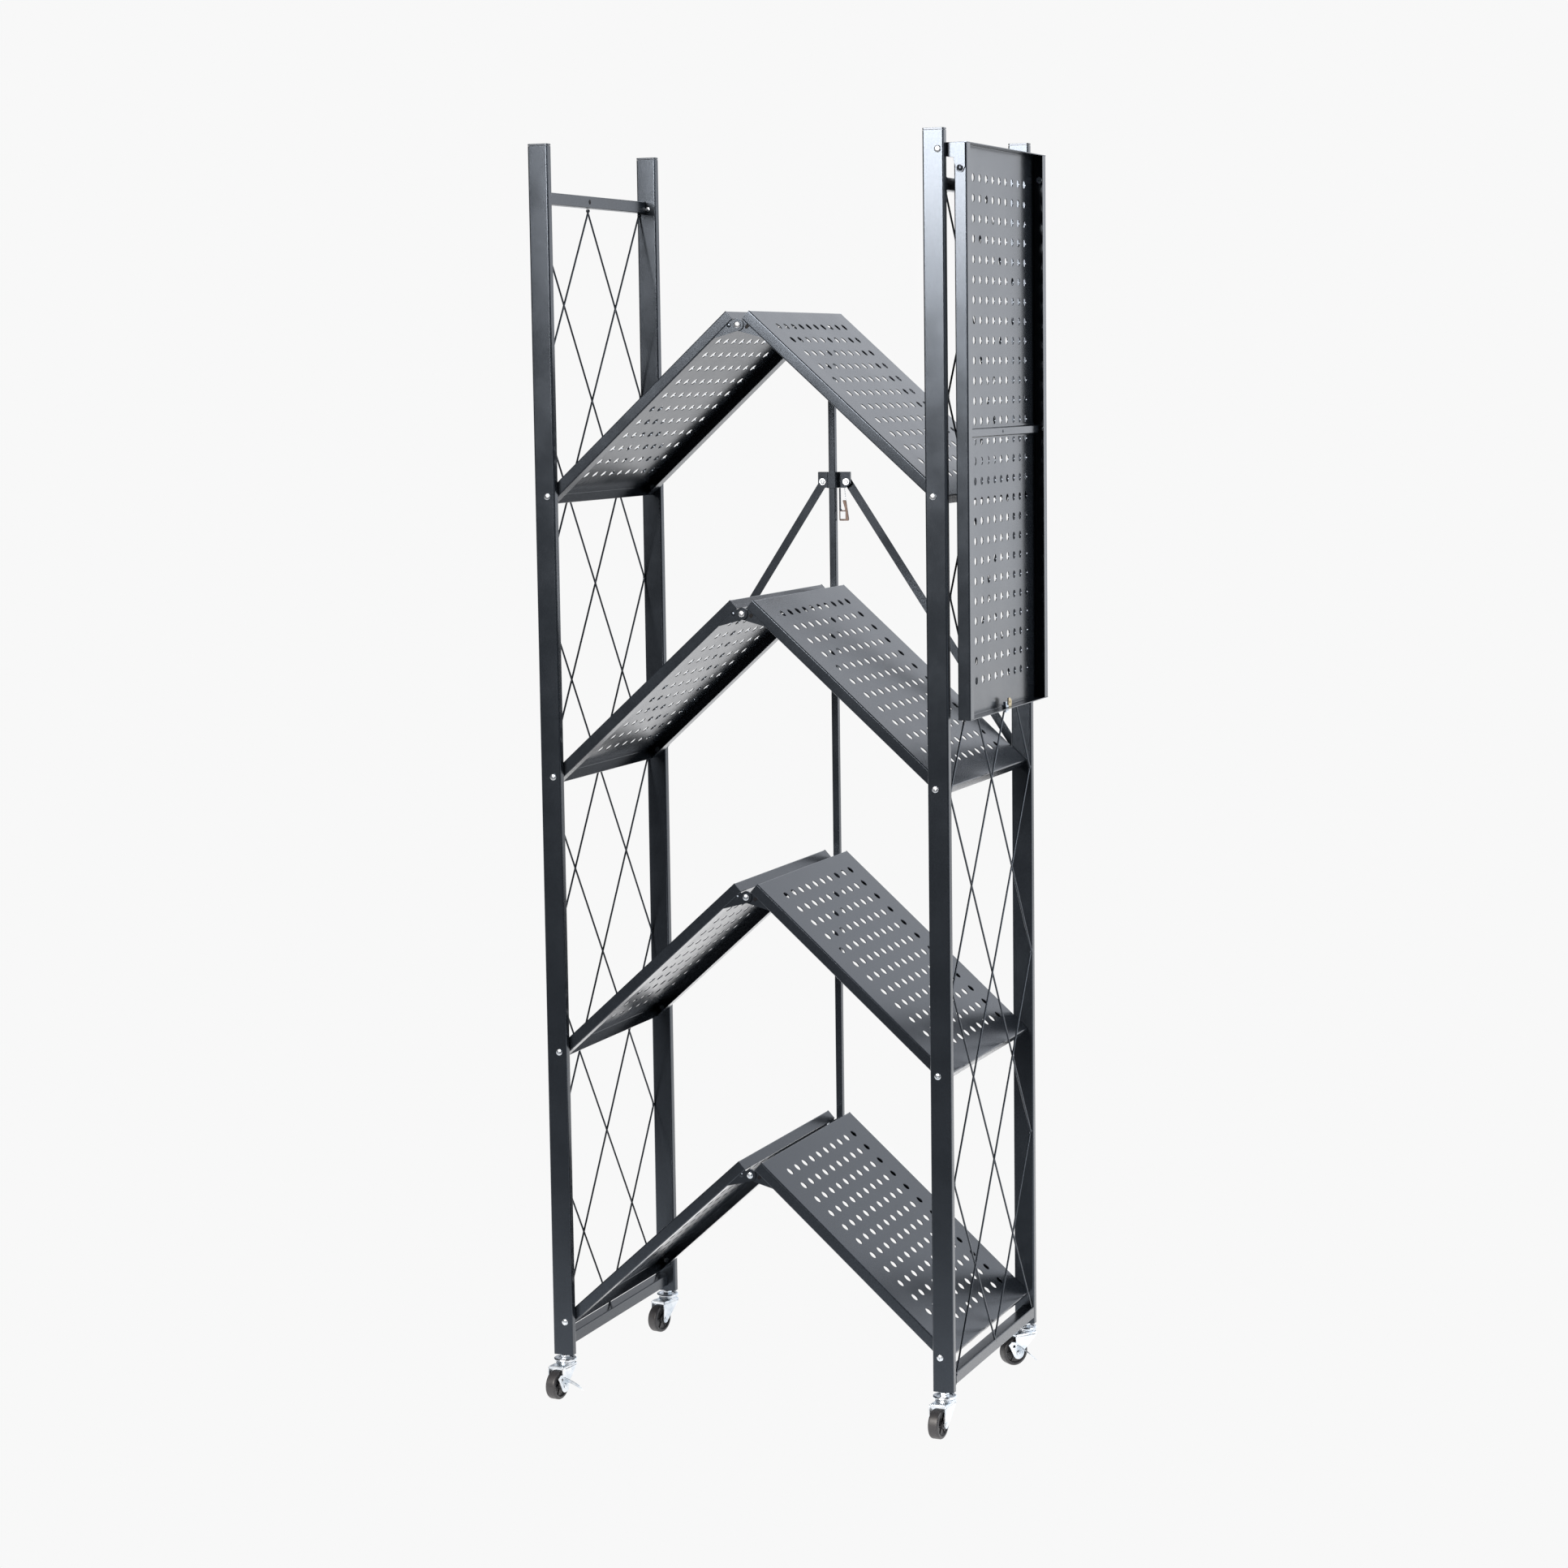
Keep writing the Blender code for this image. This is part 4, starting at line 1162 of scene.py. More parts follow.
    def build_rails(self) -> None:
        """Add the top and bottom rail; the bottom one is wider inward and lies a little higher."""
        low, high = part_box(f"{self.word}_top_rail")
        self.build_rail(f"{self.word}_top_rail", low, high)
        if self.hand is Hand.LEFT:
            self.build_keeper(low, high)
        low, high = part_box(f"{self.word}_bottom_rail")
        low.z += self.rail_lifts[0]
        high.z += self.rail_lifts[1]
        if self.hand is Hand.LEFT:
            high.x += self.rail_widening
        else:
            low.x -= self.rail_widening
        self.build_rail(f"{self.word}_bottom_rail", low, high)

    def build_keeper(self, low: Vector, high: Vector) -> None:
        """Add the keeper socket in the left top rail's inner face, and the screw beside it.

        Args:
            low: lower corner of the rail.
            high: upper corner of the rail.
        """
        place = (high.x, self.layout.middle.y - 0.018, (low.z + high.z) / 2)
        socket = cylinder(0.0031, -0.0004, 0.00015, 24, Axis.X, place)
        self.shop.add("left_top_rail_socket", socket, self.paints.black, self.body)
        stud = [(0.0, 0.0006), (0.0028, 0.0006), (0.0028, -0.0012), (0.0014, -0.0014),
                (0.0014, -0.0046), (0.0, -0.0046)]
        face = self.layout.middle.y + self.layout.inner
        screw = turn(stud, 18, Axis.Y, (high.x + 0.0028, face, low.z + 0.005))
        self.shop.add("left_top_rail_screw", screw, self.paints.zinc, self.body)

    def build_lattice(self) -> None:
        """Add the four zigzag wires and the weld dots where they meet the frame."""
        node = f"{self.word}_lattice"
        low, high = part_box(node)
        radius = self.wire_radius
        x = self.x + self.hand.value * (self.layout.post_width / 2 - self.wire_inset)
        reach = self.layout.inner - self.layout.fit - radius * 1.25
        bottom = low.z + radius
        rise = (high.z - radius - bottom) / self.wire_steps
        dot = [(0, -0.0024), (0.0015, -0.0016), (0.0021, 0), (0.0015, 0.0016), (0, 0.0024)]
        wires = []
        dots = []
        # Where each wire swings, as a share of the reach, and how far it stands off the others
        for pattern, offset in (
            ((0, 1, 0, -1), -0.0010), ((0, -1, 0, 1), 0.0004),
            ((1, 0, -1, 0), -0.0003), ((-1, 0, 1, 0), 0.0011),
        ):
            corners = [
                Vector((x + offset, self.layout.middle.y + reach * pattern[i % 4], bottom + i * rise))
                for i in range(self.wire_steps + 1)
            ]
            wires.append(rod(round_corners(corners, self.wire_bend, 5), radius, 10))
            for i, corner in enumerate(corners):
                if pattern[i % 4] or i in (0, self.wire_steps):
                    dots.append(turn(dot, 10, Axis.Z, corner))
        self.shop.add(f"{node}_wires", merge(wires), self.paints.coat, self.body, [node], sharp=60)
        self.shop.add(f"{node}_weld_dots", merge(dots), self.paints.coat, self.body, sharp=80)

    def build(self) -> None:
        """Add the whole side frame."""
        for side in Side:
            self.build_post(side)
            self.build_screws(side)
        self.build_rails()
        self.build_lattice()


@dataclass
class PerforatedShelf(Assembly):
    """What a leaf and the top shelf share: one bent sheet with a grid of round holes."""

    sheet: float = 0.001
    bend_steps: int = 5
    hole_sides: int = 20
    crisp_angle: float = 30.0

    def grid(self, rows: Sequence[float], columns: Sequence[float]) -> list[Point]:
        """Return the centres of a grid of holes.

        Args:
            rows: place of the first row, the pitch and the number of rows.
            columns: the same for the columns.

        Returns:
            The place of each hole across the rows and across the columns.
        """
        return [
            (rows[0] + rows[1] * row, columns[0] + columns[1] * column)
            for row in range(int(rows[2]))
            for column in range(int(columns[2]))
        ]


@dataclass
class Leaf(PerforatedShelf):
    """One perforated half shelf with its ears, drawn about its outer pivot."""

    top: float = 0.0075
    flange: float = 0.014
    lip: float = 0.019
    overhang: float = 0.008
    side_gap: float = 0.0005
    end_gap: float = 0.0002
    bend: float = 0.0016
    hole_radius: float = 0.0052
    rows: int = 12
    columns: int = 10
    row_pitch: float = 0.0248
    column_pitch: float = 0.0257
    row_shift: float = 0.004
    column_shift: float = 0.001
    ear_thickness: float = 0.0016
    ear_gap: float = 0.0004
    ear_reach: float = 0.033
    ear_nose: float = 0.0075
    ear_seat: float = 0.0002
    ear_root: float = 0.004
    pin_bore: float = 0.0033
    rivet_radius: float = 0.0026
    rivet_insets: Point = (0.0095, 0.0125)
    rivet_row: float = 0.0060
    stud_radius: float = 0.0027
    # Size of the inner ear's slot, which a thin black fill shows as painted shade
    slot_half: float = 0.0016
    slot_radius: float = 0.0021

    @property
    def half(self) -> float:
        """Half of the leaf's depth."""
        return self.layout.inner - self.side_gap

    @property
    def end(self) -> float:
        """The inner end of the leaf."""
        return self.layout.span - self.end_gap

    @property
    def bottom(self) -> float:
        """The lower edge of the flanges."""
        return self.top - self.flange

    def deck(self) -> Solid:
        """Return the flat perforated sheet.

        Returns:
            A closed mesh.
        """
        r = self.bend
        first_row = (
            (self.end - self.overhang - self.row_pitch * (self.rows - 1)) / 2 + self.row_shift
        )
        first_column = self.column_shift - self.column_pitch * (self.columns - 1) / 2
        centres = self.grid(
            (first_row, self.row_pitch, self.rows), (first_column, self.column_pitch, self.columns)
        )
        holes = [circle(u, y, self.hole_radius, self.hole_sides) for u, y in centres]
        outline = [
            (-self.overhang + r, -self.half + r), (self.end - r, -self.half + r),
            (self.end - r, self.half - r), (-self.overhang + r, self.half - r),
        ]
        return extrude(outline, self.top - self.sheet, self.top, Plane.XY, holes)

    def long_edge(self, side: Side) -> Solid:
        """Return the bent flange and lip along the front or rear edge.

        Args:
            side: front or rear.

        Returns:
            A closed mesh.
        """
        r = self.bend
        path = [
            *arc(-self.half + r, self.top - r, r, 90, 180, self.bend_steps),
            *arc(-self.half + r, self.bottom + r, r, 180, 270, self.bend_steps),
            (-self.half + self.lip, self.bottom),
        ]
        outline = [(-side.value * y, z) for y, z in thick_path(path, self.sheet)]
        return extrude(outline, -self.overhang + 0.0012, self.end, Plane.YZ)

    def end_edge(self, inner: bool) -> Solid:
        """Return the bent flange at the inner or outer end.

        Args:
            inner: True for the end at the middle hinge.

        Returns:
            A closed mesh.
        """
        r = self.bend
        x, sign = (self.end, 1) if inner else (self.overhang, -1)
        path = [*arc(x - r, self.top - r, r, 90, 0, self.bend_steps), (x, self.bottom)]
        outline = [(sign * u, z) for u, z in thick_path(path, -self.sheet)]
        reach = self.half - self.sheet * 0.6
        return extrude(outline, -reach, reach, Plane.XZ)

    def ear_face(self, layer: Layer) -> float:
        """Return how far an ear's outer face is from the leaf's middle."""
        return self.half - self.sheet + self.ear_seat - layer.value * (self.ear_thickness + self.ear_gap)

    def ear(self, side: Side, layer: Layer) -> Solid:
        """Return one hinge ear.

        Args:
            side: front or rear.
            layer: outer against the flange, or inner.

        Returns:
            A closed mesh.
        """
        cx = self.layout.span
        cz = -self.layout.pin_drop
        outline = [
            (cx - self.ear_reach, self.bottom + self.ear_root),
            (cx - self.ear_reach, self.bottom - 0.0005),
            *arc(cx, cz, self.ear_nose, 250, 425, 18),
            (cx - 0.0016, cz + self.ear_nose + 0.0004),
            (cx - 0.0016, self.bottom + self.ear_root),
        ]
        near = self.ear_face(layer)
        lo, hi = sorted((side.value * near, side.value * (near - self.ear_thickness)))
        return extrude(outline, lo, hi, Plane.XZ, [circle(cx, cz, self.pin_bore, 20)])

    def ear_rivet(self, side: Side, layer: Layer) -> Solid:
        """Return the small rivet that holds an ear to the lip.

        Args:
            side: front or rear.
            layer: outer or inner.

        Returns:
            A closed mesh.
        """
        inset = self.rivet_insets[layer.value]
        seat = (self.end - inset, side.value * (self.half - self.rivet_row), self.bottom)
        return rivet(self.rivet_radius, 0.0013, 0.0006, 16, Axis.Z, seat, -1, shank=True)

    def ear_mark(self, side: Side, layer: Layer) -> Solid:
        """Return what shows on an ear: a stud on an outer one, and on an inner one a thin black fill in
        its slot, painted shade that stands for the slot's dark hollow.

        Args:
            side: front or rear.
            layer: outer or inner.

        Returns:
            A closed mesh.
        """
        seat = side.value * self.ear_face(layer)
        if layer is Layer.OUTER:
            place = (self.layout.span - 0.0091, seat, self.bottom - 0.0019)
            return rivet(self.stud_radius, 0.0009, 0.0004, 18, Axis.Y, place, side.value)
        # A thin black plug fills the slot: painted shade for the slot's dark hollow
        outline = [(z, u) for u, z in capsule(-self.slot_half, self.slot_half, self.slot_radius, 6)]
        plug = extrude(outline, seat - 0.0004, seat + 0.0002, Plane.XZ)
        place = Vector((self.layout.span - 0.0104, 0, self.bottom - 0.0022))
        return shift(plug, Matrix.Translation(place))

    def build_meshes(self, layer: Layer) -> list[bpy.types.Mesh]:
        """Return the meshes of the tray, its rivets and the marks on its ears.

        Args:
            layer: outer for a left leaf; an inner one is mirrored and hangs from the middle.

        Returns:
            Three meshes.
        """
        tray = merge([
            self.deck(), self.long_edge(Side.FRONT), self.long_edge(Side.REAR),
            self.end_edge(True), self.end_edge(False),
            self.ear(Side.FRONT, layer), self.ear(Side.REAR, layer),
        ])
        rivets = merge([self.ear_rivet(side, layer) for side in Side])
        marks = merge([self.ear_mark(side, layer) for side in Side])
        meshes = []
        for bm, label in ((tray, "tray"), (rivets, "rivets"), (marks, "marks")):
            if layer is Layer.INNER:
                shift(bm, Matrix.Scale(-1, 4, (1, 0, 0)))
                shift(bm, Matrix.Translation((self.layout.span, 0, self.layout.pin_drop)))
            meshes.append(smooth_mesh(bm, f"leaf_{label}_{layer.value}", self.crisp_angle))
        return meshes

    def build(self) -> None:
        """Add the eight leaves with the rivets and marks of their ears."""
        for hand, layer in ((Hand.LEFT, Layer.OUTER), (Hand.RIGHT, Layer.INNER)):
            left = hand is Hand.LEFT
            tray, rivets, marks = self.build_meshes(layer)
            # Right leaves get black slot fills, painted shade for their slots; left leaves get studs in
            # the coat
            stud_paint_or_slot_shade = self.paints.coat if left else self.paints.black
            turned = Matrix.Rotation(hand.value * self.layout.tilt, 4, "Y")
            for level in range(1, self.layout.levels + 1):
                origin = self.layout.left_pivot(level) if left else self.layout.mid(level)
                origin.y = self.layout.middle.y
                matrix = Matrix.Translation(origin) @ turned
                body = f"{hand.word}_half_{level}"
                node = f"{hand.word}_leaf_{level}"
                self.shop.add_mesh(
                    f"{node}_tray", tray, self.paints.coat, body, [node], matrix=matrix
                )
                self.shop.add_mesh(
                    f"{node}_ear_rivets", rivets, self.paints.zinc, body, matrix=matrix
                )
                self.shop.add_mesh(f"{node}_ear_marks", marks, stud_paint_or_slot_shade, body, matrix=matrix)


@dataclass
class MiddlePins(Assembly):
    """The rivets through the middle hinges."""

    head_radius: float = 0.0043
    head_height: float = 0.0020
    shank_radius: float = 0.0029
    tail_radius: float = 0.0040
    tail_height: float = 0.0022
    chamfer: float = 0.0006

    def build(self) -> None:
        """Add a front and a rear pin to each shelf."""
        for level in range(1, self.layout.levels + 1):
            centre = self.layout.mid(level)
            for side in Side:
                node = f"{side.word}_hinge_pin_{level}"
                low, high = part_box(node)
                out = side.value
                near, far = (high.y, low.y) if side is Side.FRONT else (low.y, high.y)
                seat = far - out * self.head_height
                tail = near + out * self.tail_height
                profile = [
                    (0.0, near), (self.tail_radius - self.chamfer, near),
                    (self.tail_radius, near + out * self.chamfer), (self.tail_radius, tail),
                    (self.shank_radius, tail), (self.shank_radius, seat),
                    *[(r, seat + out * h) for r, h in dome_head(self.head_radius, self.head_height)],
                ]
                pin = turn(profile, 24, Axis.Y, (centre.x, 0, centre.z))
                self.shop.add(f"{node}_rivet", pin, self.paints.zinc, f"left_half_{level}", [node])


@dataclass
class UpperShelf(PerforatedShelf):
    """The one-piece top shelf with its stiffener, pivot plates, bolt and hook."""

    body: str = "upper_shelf"
    lip: float = 0.014
    bend: float = 0.0018
    hole_radius: float = 0.0050
    rows: int = 26
    columns: int = 10
    row_pitch: float = 0.0244
    column_pitch: float = 0.0256
    row_shift: float = 0.0019
    rib_foot: float = 0.0028
    rib_bend: float = 0.0012
    stud_radius: float = 0.0024
    rivet_inset: float = 0.006
    plate_thickness: float = 0.0015
    plate_radius: float = 0.008
    pivot_bore: float = 0.0033
    bolt_reach: float = 0.0235
    bolt_drop: float = 0.0226
    bolt_bore: float = 0.0040
    plate_stud: Point = (0.0034, 0.0016)
    screw_head: Point = (0.0043, 0.0017)
    screw_nut: Point = (0.0042, 0.0020)
    shank_radius: float = 0.0029
    thread_radii: Point = (0.0023, 0.0026)
    thread_pitch: float = 0.0007
    nut_radius: float = 0.0045
    nut_height: float = 0.0031
    nut_chamfer: float = 0.0005
    hook_corner: float = 0.001

    def deck(self, low: Vector, high: Vector) -> Solid:
        """Return the top shelf's flat perforated sheet.

        Args:
            low: lower corner of the shelf.
            high: upper corner of the shelf.

        Returns:
            A closed mesh.
        """
        r = self.bend
        first_row = (high.z + low.z - self.row_pitch * (self.rows - 1)) / 2 + self.row_shift
        first_column = self.layout.middle.y - self.column_pitch * (self.columns - 1) / 2
        centres = self.grid(
            (first_row, self.row_pitch, self.rows), (first_column, self.column_pitch, self.columns)
        )
        holes = [circle(y, z, self.hole_radius, self.hole_sides) for z, y in centres]
        outline = [
            (low.y + r, low.z + r), (high.y - r, low.z + r),
            (high.y - r, high.z - r), (low.y + r, high.z - r),
        ]
        return extrude(outline, low.x, low.x + self.sheet, Plane.YZ, holes)

    def long_edge(self, low: Vector, high: Vector, side: Side) -> Solid:
        """Return the bent flange and lip along one long edge.

        Args:
            low: lower corner of the shelf.
            high: upper corner of the shelf.
            side: front or rear.

        Returns:
            A closed mesh.
        """
        r = self.bend
        y = self.layout.middle.y
        face = high.y - y
        path = [
            *arc(low.x + r, -face + r, r, 180, 270, self.bend_steps),
            *arc(high.x - r, -face + r, r, 270, 360, self.bend_steps),
            (high.x, -face + self.lip),
        ]
        outline = [(u, y - side.value * v) for u, v in thick_path(path, self.sheet)]
        return extrude(outline, low.z + 0.0008, high.z - 0.0008, Plane.XY)

    def end_edge(self, low: Vector, high: Vector, upper: bool) -> Solid:
        """Return the bent flange at the top or at the free end.

        Args:
            low: lower corner of the shelf.
            high: upper corner of the shelf.
            upper: True for the top.

        Returns:
            A closed mesh.
        """
        r = self.bend
        z, sign = (high.z, 1) if upper else (low.z, -1)
        turns = [math.radians(a) for a in QUARTER_TURN]
        path = [(low.x + r - r * math.cos(a), z - sign * (r - r * math.sin(a))) for a in turns]
        outline = thick_path([*path, (high.x, z)], -self.sheet * sign)
        reach = self.sheet * 0.6
        return extrude(outline, low.y + reach, high.y - reach, Plane.XZ)

    def build_panel(self) -> None:
        """Add the perforated panel."""
        low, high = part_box("top_shelf")
        panel = merge([
            self.deck(low, high), self.long_edge(low, high, Side.FRONT),
            self.long_edge(low, high, Side.REAR), self.end_edge(low, high, True),
            self.end_edge(low, high, False),
        ])
        self.shop.add("upper_shelf_panel", panel, self.paints.coat, self.body, ["top_shelf"],
                      sharp=self.crisp_angle)

    def build_stiffener(self) -> None:
        """Add the rolled stiffener across the middle, with its rivets and end studs."""
        low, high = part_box("top_shelf_stiffener")
        mid = (low.z + high.z) / 2
        y = self.layout.middle.y
        foot = self.rib_foot
        r = self.rib_bend
        back = low.x + self.sheet
        path = [
            (back, low.z), (back, low.z + foot - r), *arc(back + r, low.z + foot - r, r, 180, 90, 3),
            *arc(high.x - r, low.z + foot + r, r, -90, 0, 3),
            *arc(high.x - r, high.z - foot - r, r, 0, 90, 3),
            *arc(back + r, high.z - foot + r, r, 270, 180, 3), (back, high.z),
        ]
        bar = extrude(thick_path(path, self.sheet), low.y, high.y, Plane.XZ)
        self.shop.add("upper_shelf_rib", bar, self.paints.coat, self.body, ["top_shelf_stiffener"],
                      sharp=self.crisp_angle)
        rivets = [
            rivet(self.stud_radius, 0.0011, 0.0005, 16, Axis.X, (high.x - 0.0004, at, mid), shank=True)
            for at in (low.y + self.rivet_inset, y, high.y - self.rivet_inset)
        ]
        self.shop.add("upper_shelf_rib_rivets", merge(rivets), self.paints.coat, self.body)
        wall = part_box("top_shelf")[1]
        studs = [
            rivet(
                self.stud_radius, 0.0012, 0.0006, 16, Axis.Y,
                (wall.x - 0.0055, y + side.value * (wall.y - y - self.sheet), mid),
                -side.value, shank=True,
            )
            for side in Side
        ]
        self.shop.add("upper_shelf_rib_studs", merge(studs), self.paints.zinc, self.body)

    def build_pivot_plate(self, side: Side) -> None:
        """Add one plate on which the shelf turns, with its stud, bolt and pivot screw.

        Args:
            side: front or rear.
        """
        node = f"{side.word}_pivot_bracket"
        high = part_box(node)[1]
        pivot = self.layout.place("upper_shelf_swing")
        y = self.layout.middle.y
        sign = side.value
        face = self.layout.inner - self.layout.fit
        back = face - self.plate_thickness
        bolt_x = pivot.x + self.bolt_reach
        bolt_z = pivot.z - self.bolt_drop
        outline = [
            *arc(pivot.x, pivot.z, self.plate_radius, 90, 250, 14),
            (high.x - 0.0150, pivot.z - 0.0098), *arc(bolt_x, bolt_z, 0.0050, 190, 345, 12),
            (high.x, bolt_z + 0.0016), *arc(high.x - 0.0020, high.z - 0.0020, 0.0020, 0, 90, 3),
        ]
        lo, hi = sorted((y + sign * face, y + sign * back))
        holes = [
            circle(pivot.x, pivot.z, self.pivot_bore, 20), circle(bolt_x, bolt_z, self.bolt_bore, 22),
        ]
        plate = extrude(outline, lo, hi, Plane.XZ, holes)
        self.shop.add(f"{node}_plate", plate, self.paints.coat, self.body, [node], bevel=0.0004)
        stud = rivet(*self.plate_stud, 0.0006, 22, Axis.Y, (bolt_x, y + sign * back, bolt_z), sign,
                     shank=True)
        self.shop.add(f"{node}_stud", stud, self.paints.coat, self.body)
        nut_seat = (bolt_x, y + sign * (self.layout.inner - 0.0031), bolt_z)
        nut = cylinder(0.0044, 0.0, -sign * 0.0022, 6, Axis.Y, nut_seat)
        self.shop.add(f"{node}_bolt", nut, self.paints.zinc, self.body, bevel=0.0003)
        tail = (pivot.x, y + sign * (back - self.layout.fit), pivot.z)
        screw = merge([
            rivet(*self.screw_head, 0.0004, 24, Axis.Y,
                  (pivot.x, y + sign * self.layout.outer, pivot.z), sign),
            cylinder(self.screw_nut[0], 0.0, -sign * self.screw_nut[1], 6, Axis.Y, tail),
            cylinder(self.shank_radius, 0.0, sign * 0.003, 16, Axis.Y, tail),
        ])
        self.shop.add(f"{side.word}_upper_shelf_screw", screw, self.paints.zinc, "right_frame")

    def build_latch_bolt(self) -> None:
        """Add the latch bolt, threaded over its length, with its two nuts."""
        low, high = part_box("latch_bolt")
        place = ((low.x + high.x) / 2, (low.y + high.y) / 2)
        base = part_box("top_shelf")[0].z
        root, crest = self.thread_radii
        threads = [(0.0, low.z), (root, low.z)]
        for i in range(int((high.z - low.z) / self.thread_pitch)):
            z = low.z + i * self.thread_pitch
            threads += [(root, z), (crest, z + self.thread_pitch / 2)]
        threads += [(root, high.z), (0.0, high.z)]
        flat = self.nut_radius * 0.9
        nut = [
            (0.0, 0.0), (flat, 0.0), (self.nut_radius, self.nut_chamfer),
            (self.nut_radius, self.nut_height - self.nut_chamfer), (flat, self.nut_height),
            (0.0, self.nut_height),
        ]
        above = base + self.sheet + self.layout.fit
        below = base - self.layout.fit - self.nut_height
        bolt = merge([
            turn(threads, 16, Axis.Z, (*place, 0)), turn(nut, 6, Axis.Z, (*place, above)),
            turn(nut, 6, Axis.Z, (*place, below)),
        ])
        self.shop.add("latch_bolt_and_nuts", bolt, self.paints.zinc, self.body, ["latch_bolt"],
                      sharp=25)

    def build_hook(self) -> None:
        """Add the hook plate beside the latch bolt."""
        low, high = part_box("latch_hook")
        r = self.hook_corner
        outline = [
            *arc(low.y + r, low.z + r, r, 180, 270, 3), *arc(high.y - r, low.z + r, r, 270, 360, 3),
            (high.y, low.z + 0.0075), *arc(high.y - 0.006, high.z - r, r, 30, 90, 3),
            *arc(low.y + r, high.z - r, r, 90, 180, 3),
        ]
        hole = circle((low.y + high.y) / 2 - r, (low.z + high.z) / 2, 0.0018, 16)
        plate = extrude(outline, low.x, high.x, Plane.YZ, [hole])
        self.shop.add("latch_hook_plate", plate, self.paints.yellow, self.body, ["latch_hook"],
                      bevel=0.0002)

    def build(self) -> None:
        """Add the shelf and its fittings."""
        self.build_panel()
        self.build_stiffener()
        for side in Side:
            self.build_pivot_plate(side)
        self.build_latch_bolt()
        self.build_hook()


@dataclass
class Brace(Assembly):
    """The guide bar, the collar with its bolts, the arms and the trigger."""

    arm_width: float = 0.011
    arm_bores: Point = (0.0030, 0.0026)
    bar_radius: float = 0.0012
    bar_bore_radius: float = 0.0004
    bar_wall: float = 0.001
    sleeve_gap: float = 0.0004
    sleeve_wall: float = 0.0013
    sleeve_bend: float = 0.0015
    wing_corner: float = 0.001
    wing_taper: float = 0.0075
    wing_waist: float = 0.27
    bolt_bore: float = 0.0033
    lip_thickness: float = 0.0014
    lip_depth: float = 0.003
    washer_radius: float = 0.0046
    washer_thickness: float = 0.0008
    shank_radius: float = 0.0029
    nut_radius: float = 0.0041
    drawn_pull: float = 0.041
    wire_radius: float = 0.0004

    def build_bar(self) -> None:
        """Add the square guide tube."""
        low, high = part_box("guide_bar")
        tube = square_tube(
            (low.x, high.x, low.y, high.y), self.bar_radius, self.bar_bore_radius, self.bar_wall,
            low.z, high.z, Plane.XY,
        )
        self.shop.add("guide_bar_tube", tube, self.paints.coat, "bar", ["guide_bar"])

    def build_collar(self) -> None:
        """Add the sliding collar: wings cut from one plate, a sleeve around the bar and a lip."""
        low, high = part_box("brace_collar")
        bar_low, bar_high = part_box("guide_bar")
        x = (low.x + high.x) / 2
        left, right = low.x, high.x
        height = high.z - low.z
        front = bar_high.y + self.sleeve_gap
        r = self.wing_corner
        waist = low.z + height * self.wing_waist
        wing = [
            *arc(right - r, high.z - r, r, 0, 90, 3), *arc(left + r, high.z - r, r, 90, 180, 3),
            (left, waist), *arc(left + self.wing_taper, low.z + r, r, 225, 270, 3),
            *arc(right - self.wing_taper, low.z + r, r, 270, 315, 3), (right, waist),
        ]
        bolts = [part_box(f"{hand.word}_collar_bolt") for hand in Hand]
        holes = [
            circle((a.x + b.x) / 2, (a.z + b.z) / 2, self.bolt_bore, 20) for a, b in bolts
        ]
        wings = extrude(wing, front, high.y, Plane.XZ, holes)
        bend = self.sleeve_bend
        reach = (bar_high.x - bar_low.x) / 2 + self.sleeve_gap + self.sleeve_wall
        back = bar_low.y - self.sleeve_gap - self.sleeve_wall
        sleeve_path = [
            (x - reach - bend, front), (x - reach, front - bend),
            *arc(x - reach + bend, back + bend, bend, 180, 270, 4),
            *arc(x + reach - bend, back + bend, bend, 270, 360, 4),
            (x + reach, front - bend), (x + reach + bend, front),
        ]
        sleeve = extrude(thick_path(sleeve_path, self.sleeve_wall), low.z, high.z, Plane.XY)
        edge = right - self.lip_thickness
        lip = extrude(
            [(edge, front - self.lip_depth), (right, front - self.lip_depth), (right, high.y),
             (edge, high.y)],
            low.z + height * 0.3, high.z, Plane.XY,
        )
        self.shop.add("collar_plate", merge([wings, sleeve, lip]), self.paints.coat, "collar",
                      ["brace_collar"], bevel=0.0003)

    def build_collar_bolts(self) -> None:
        """Add the collar's two bolts, each with a washered head in front and a nut behind."""
        head = [(0.0, -0.0006), (0.0029, -0.0006), (0.0029, -0.0017), (0.0024, -0.0022),
                (0.0014, -0.0022), (0.0013, -0.0012), (0.0, -0.0012)]
        for hand in Hand:
            node = f"{hand.word}_collar_bolt"
            near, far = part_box(node)
            axis = Vector(((near.x + far.x) / 2, 0, (near.z + far.z) / 2))
            seat = near.y + 0.0022
            parts = [
                cylinder(self.washer_radius, seat, seat - self.washer_thickness, 28, Axis.Y, axis),
                turn([(r, seat + h) for r, h in head], 24, Axis.Y, axis),
                cylinder(self.shank_radius, seat, far.y - 0.002, 16, Axis.Y, axis),
                cylinder(self.nut_radius, far.y - 0.0022, far.y, 6, Axis.Y, axis),
            ]
            self.shop.add(f"{node}_and_washer", merge(parts), self.paints.zinc, "collar", [node],
                          bevel=0.0002)

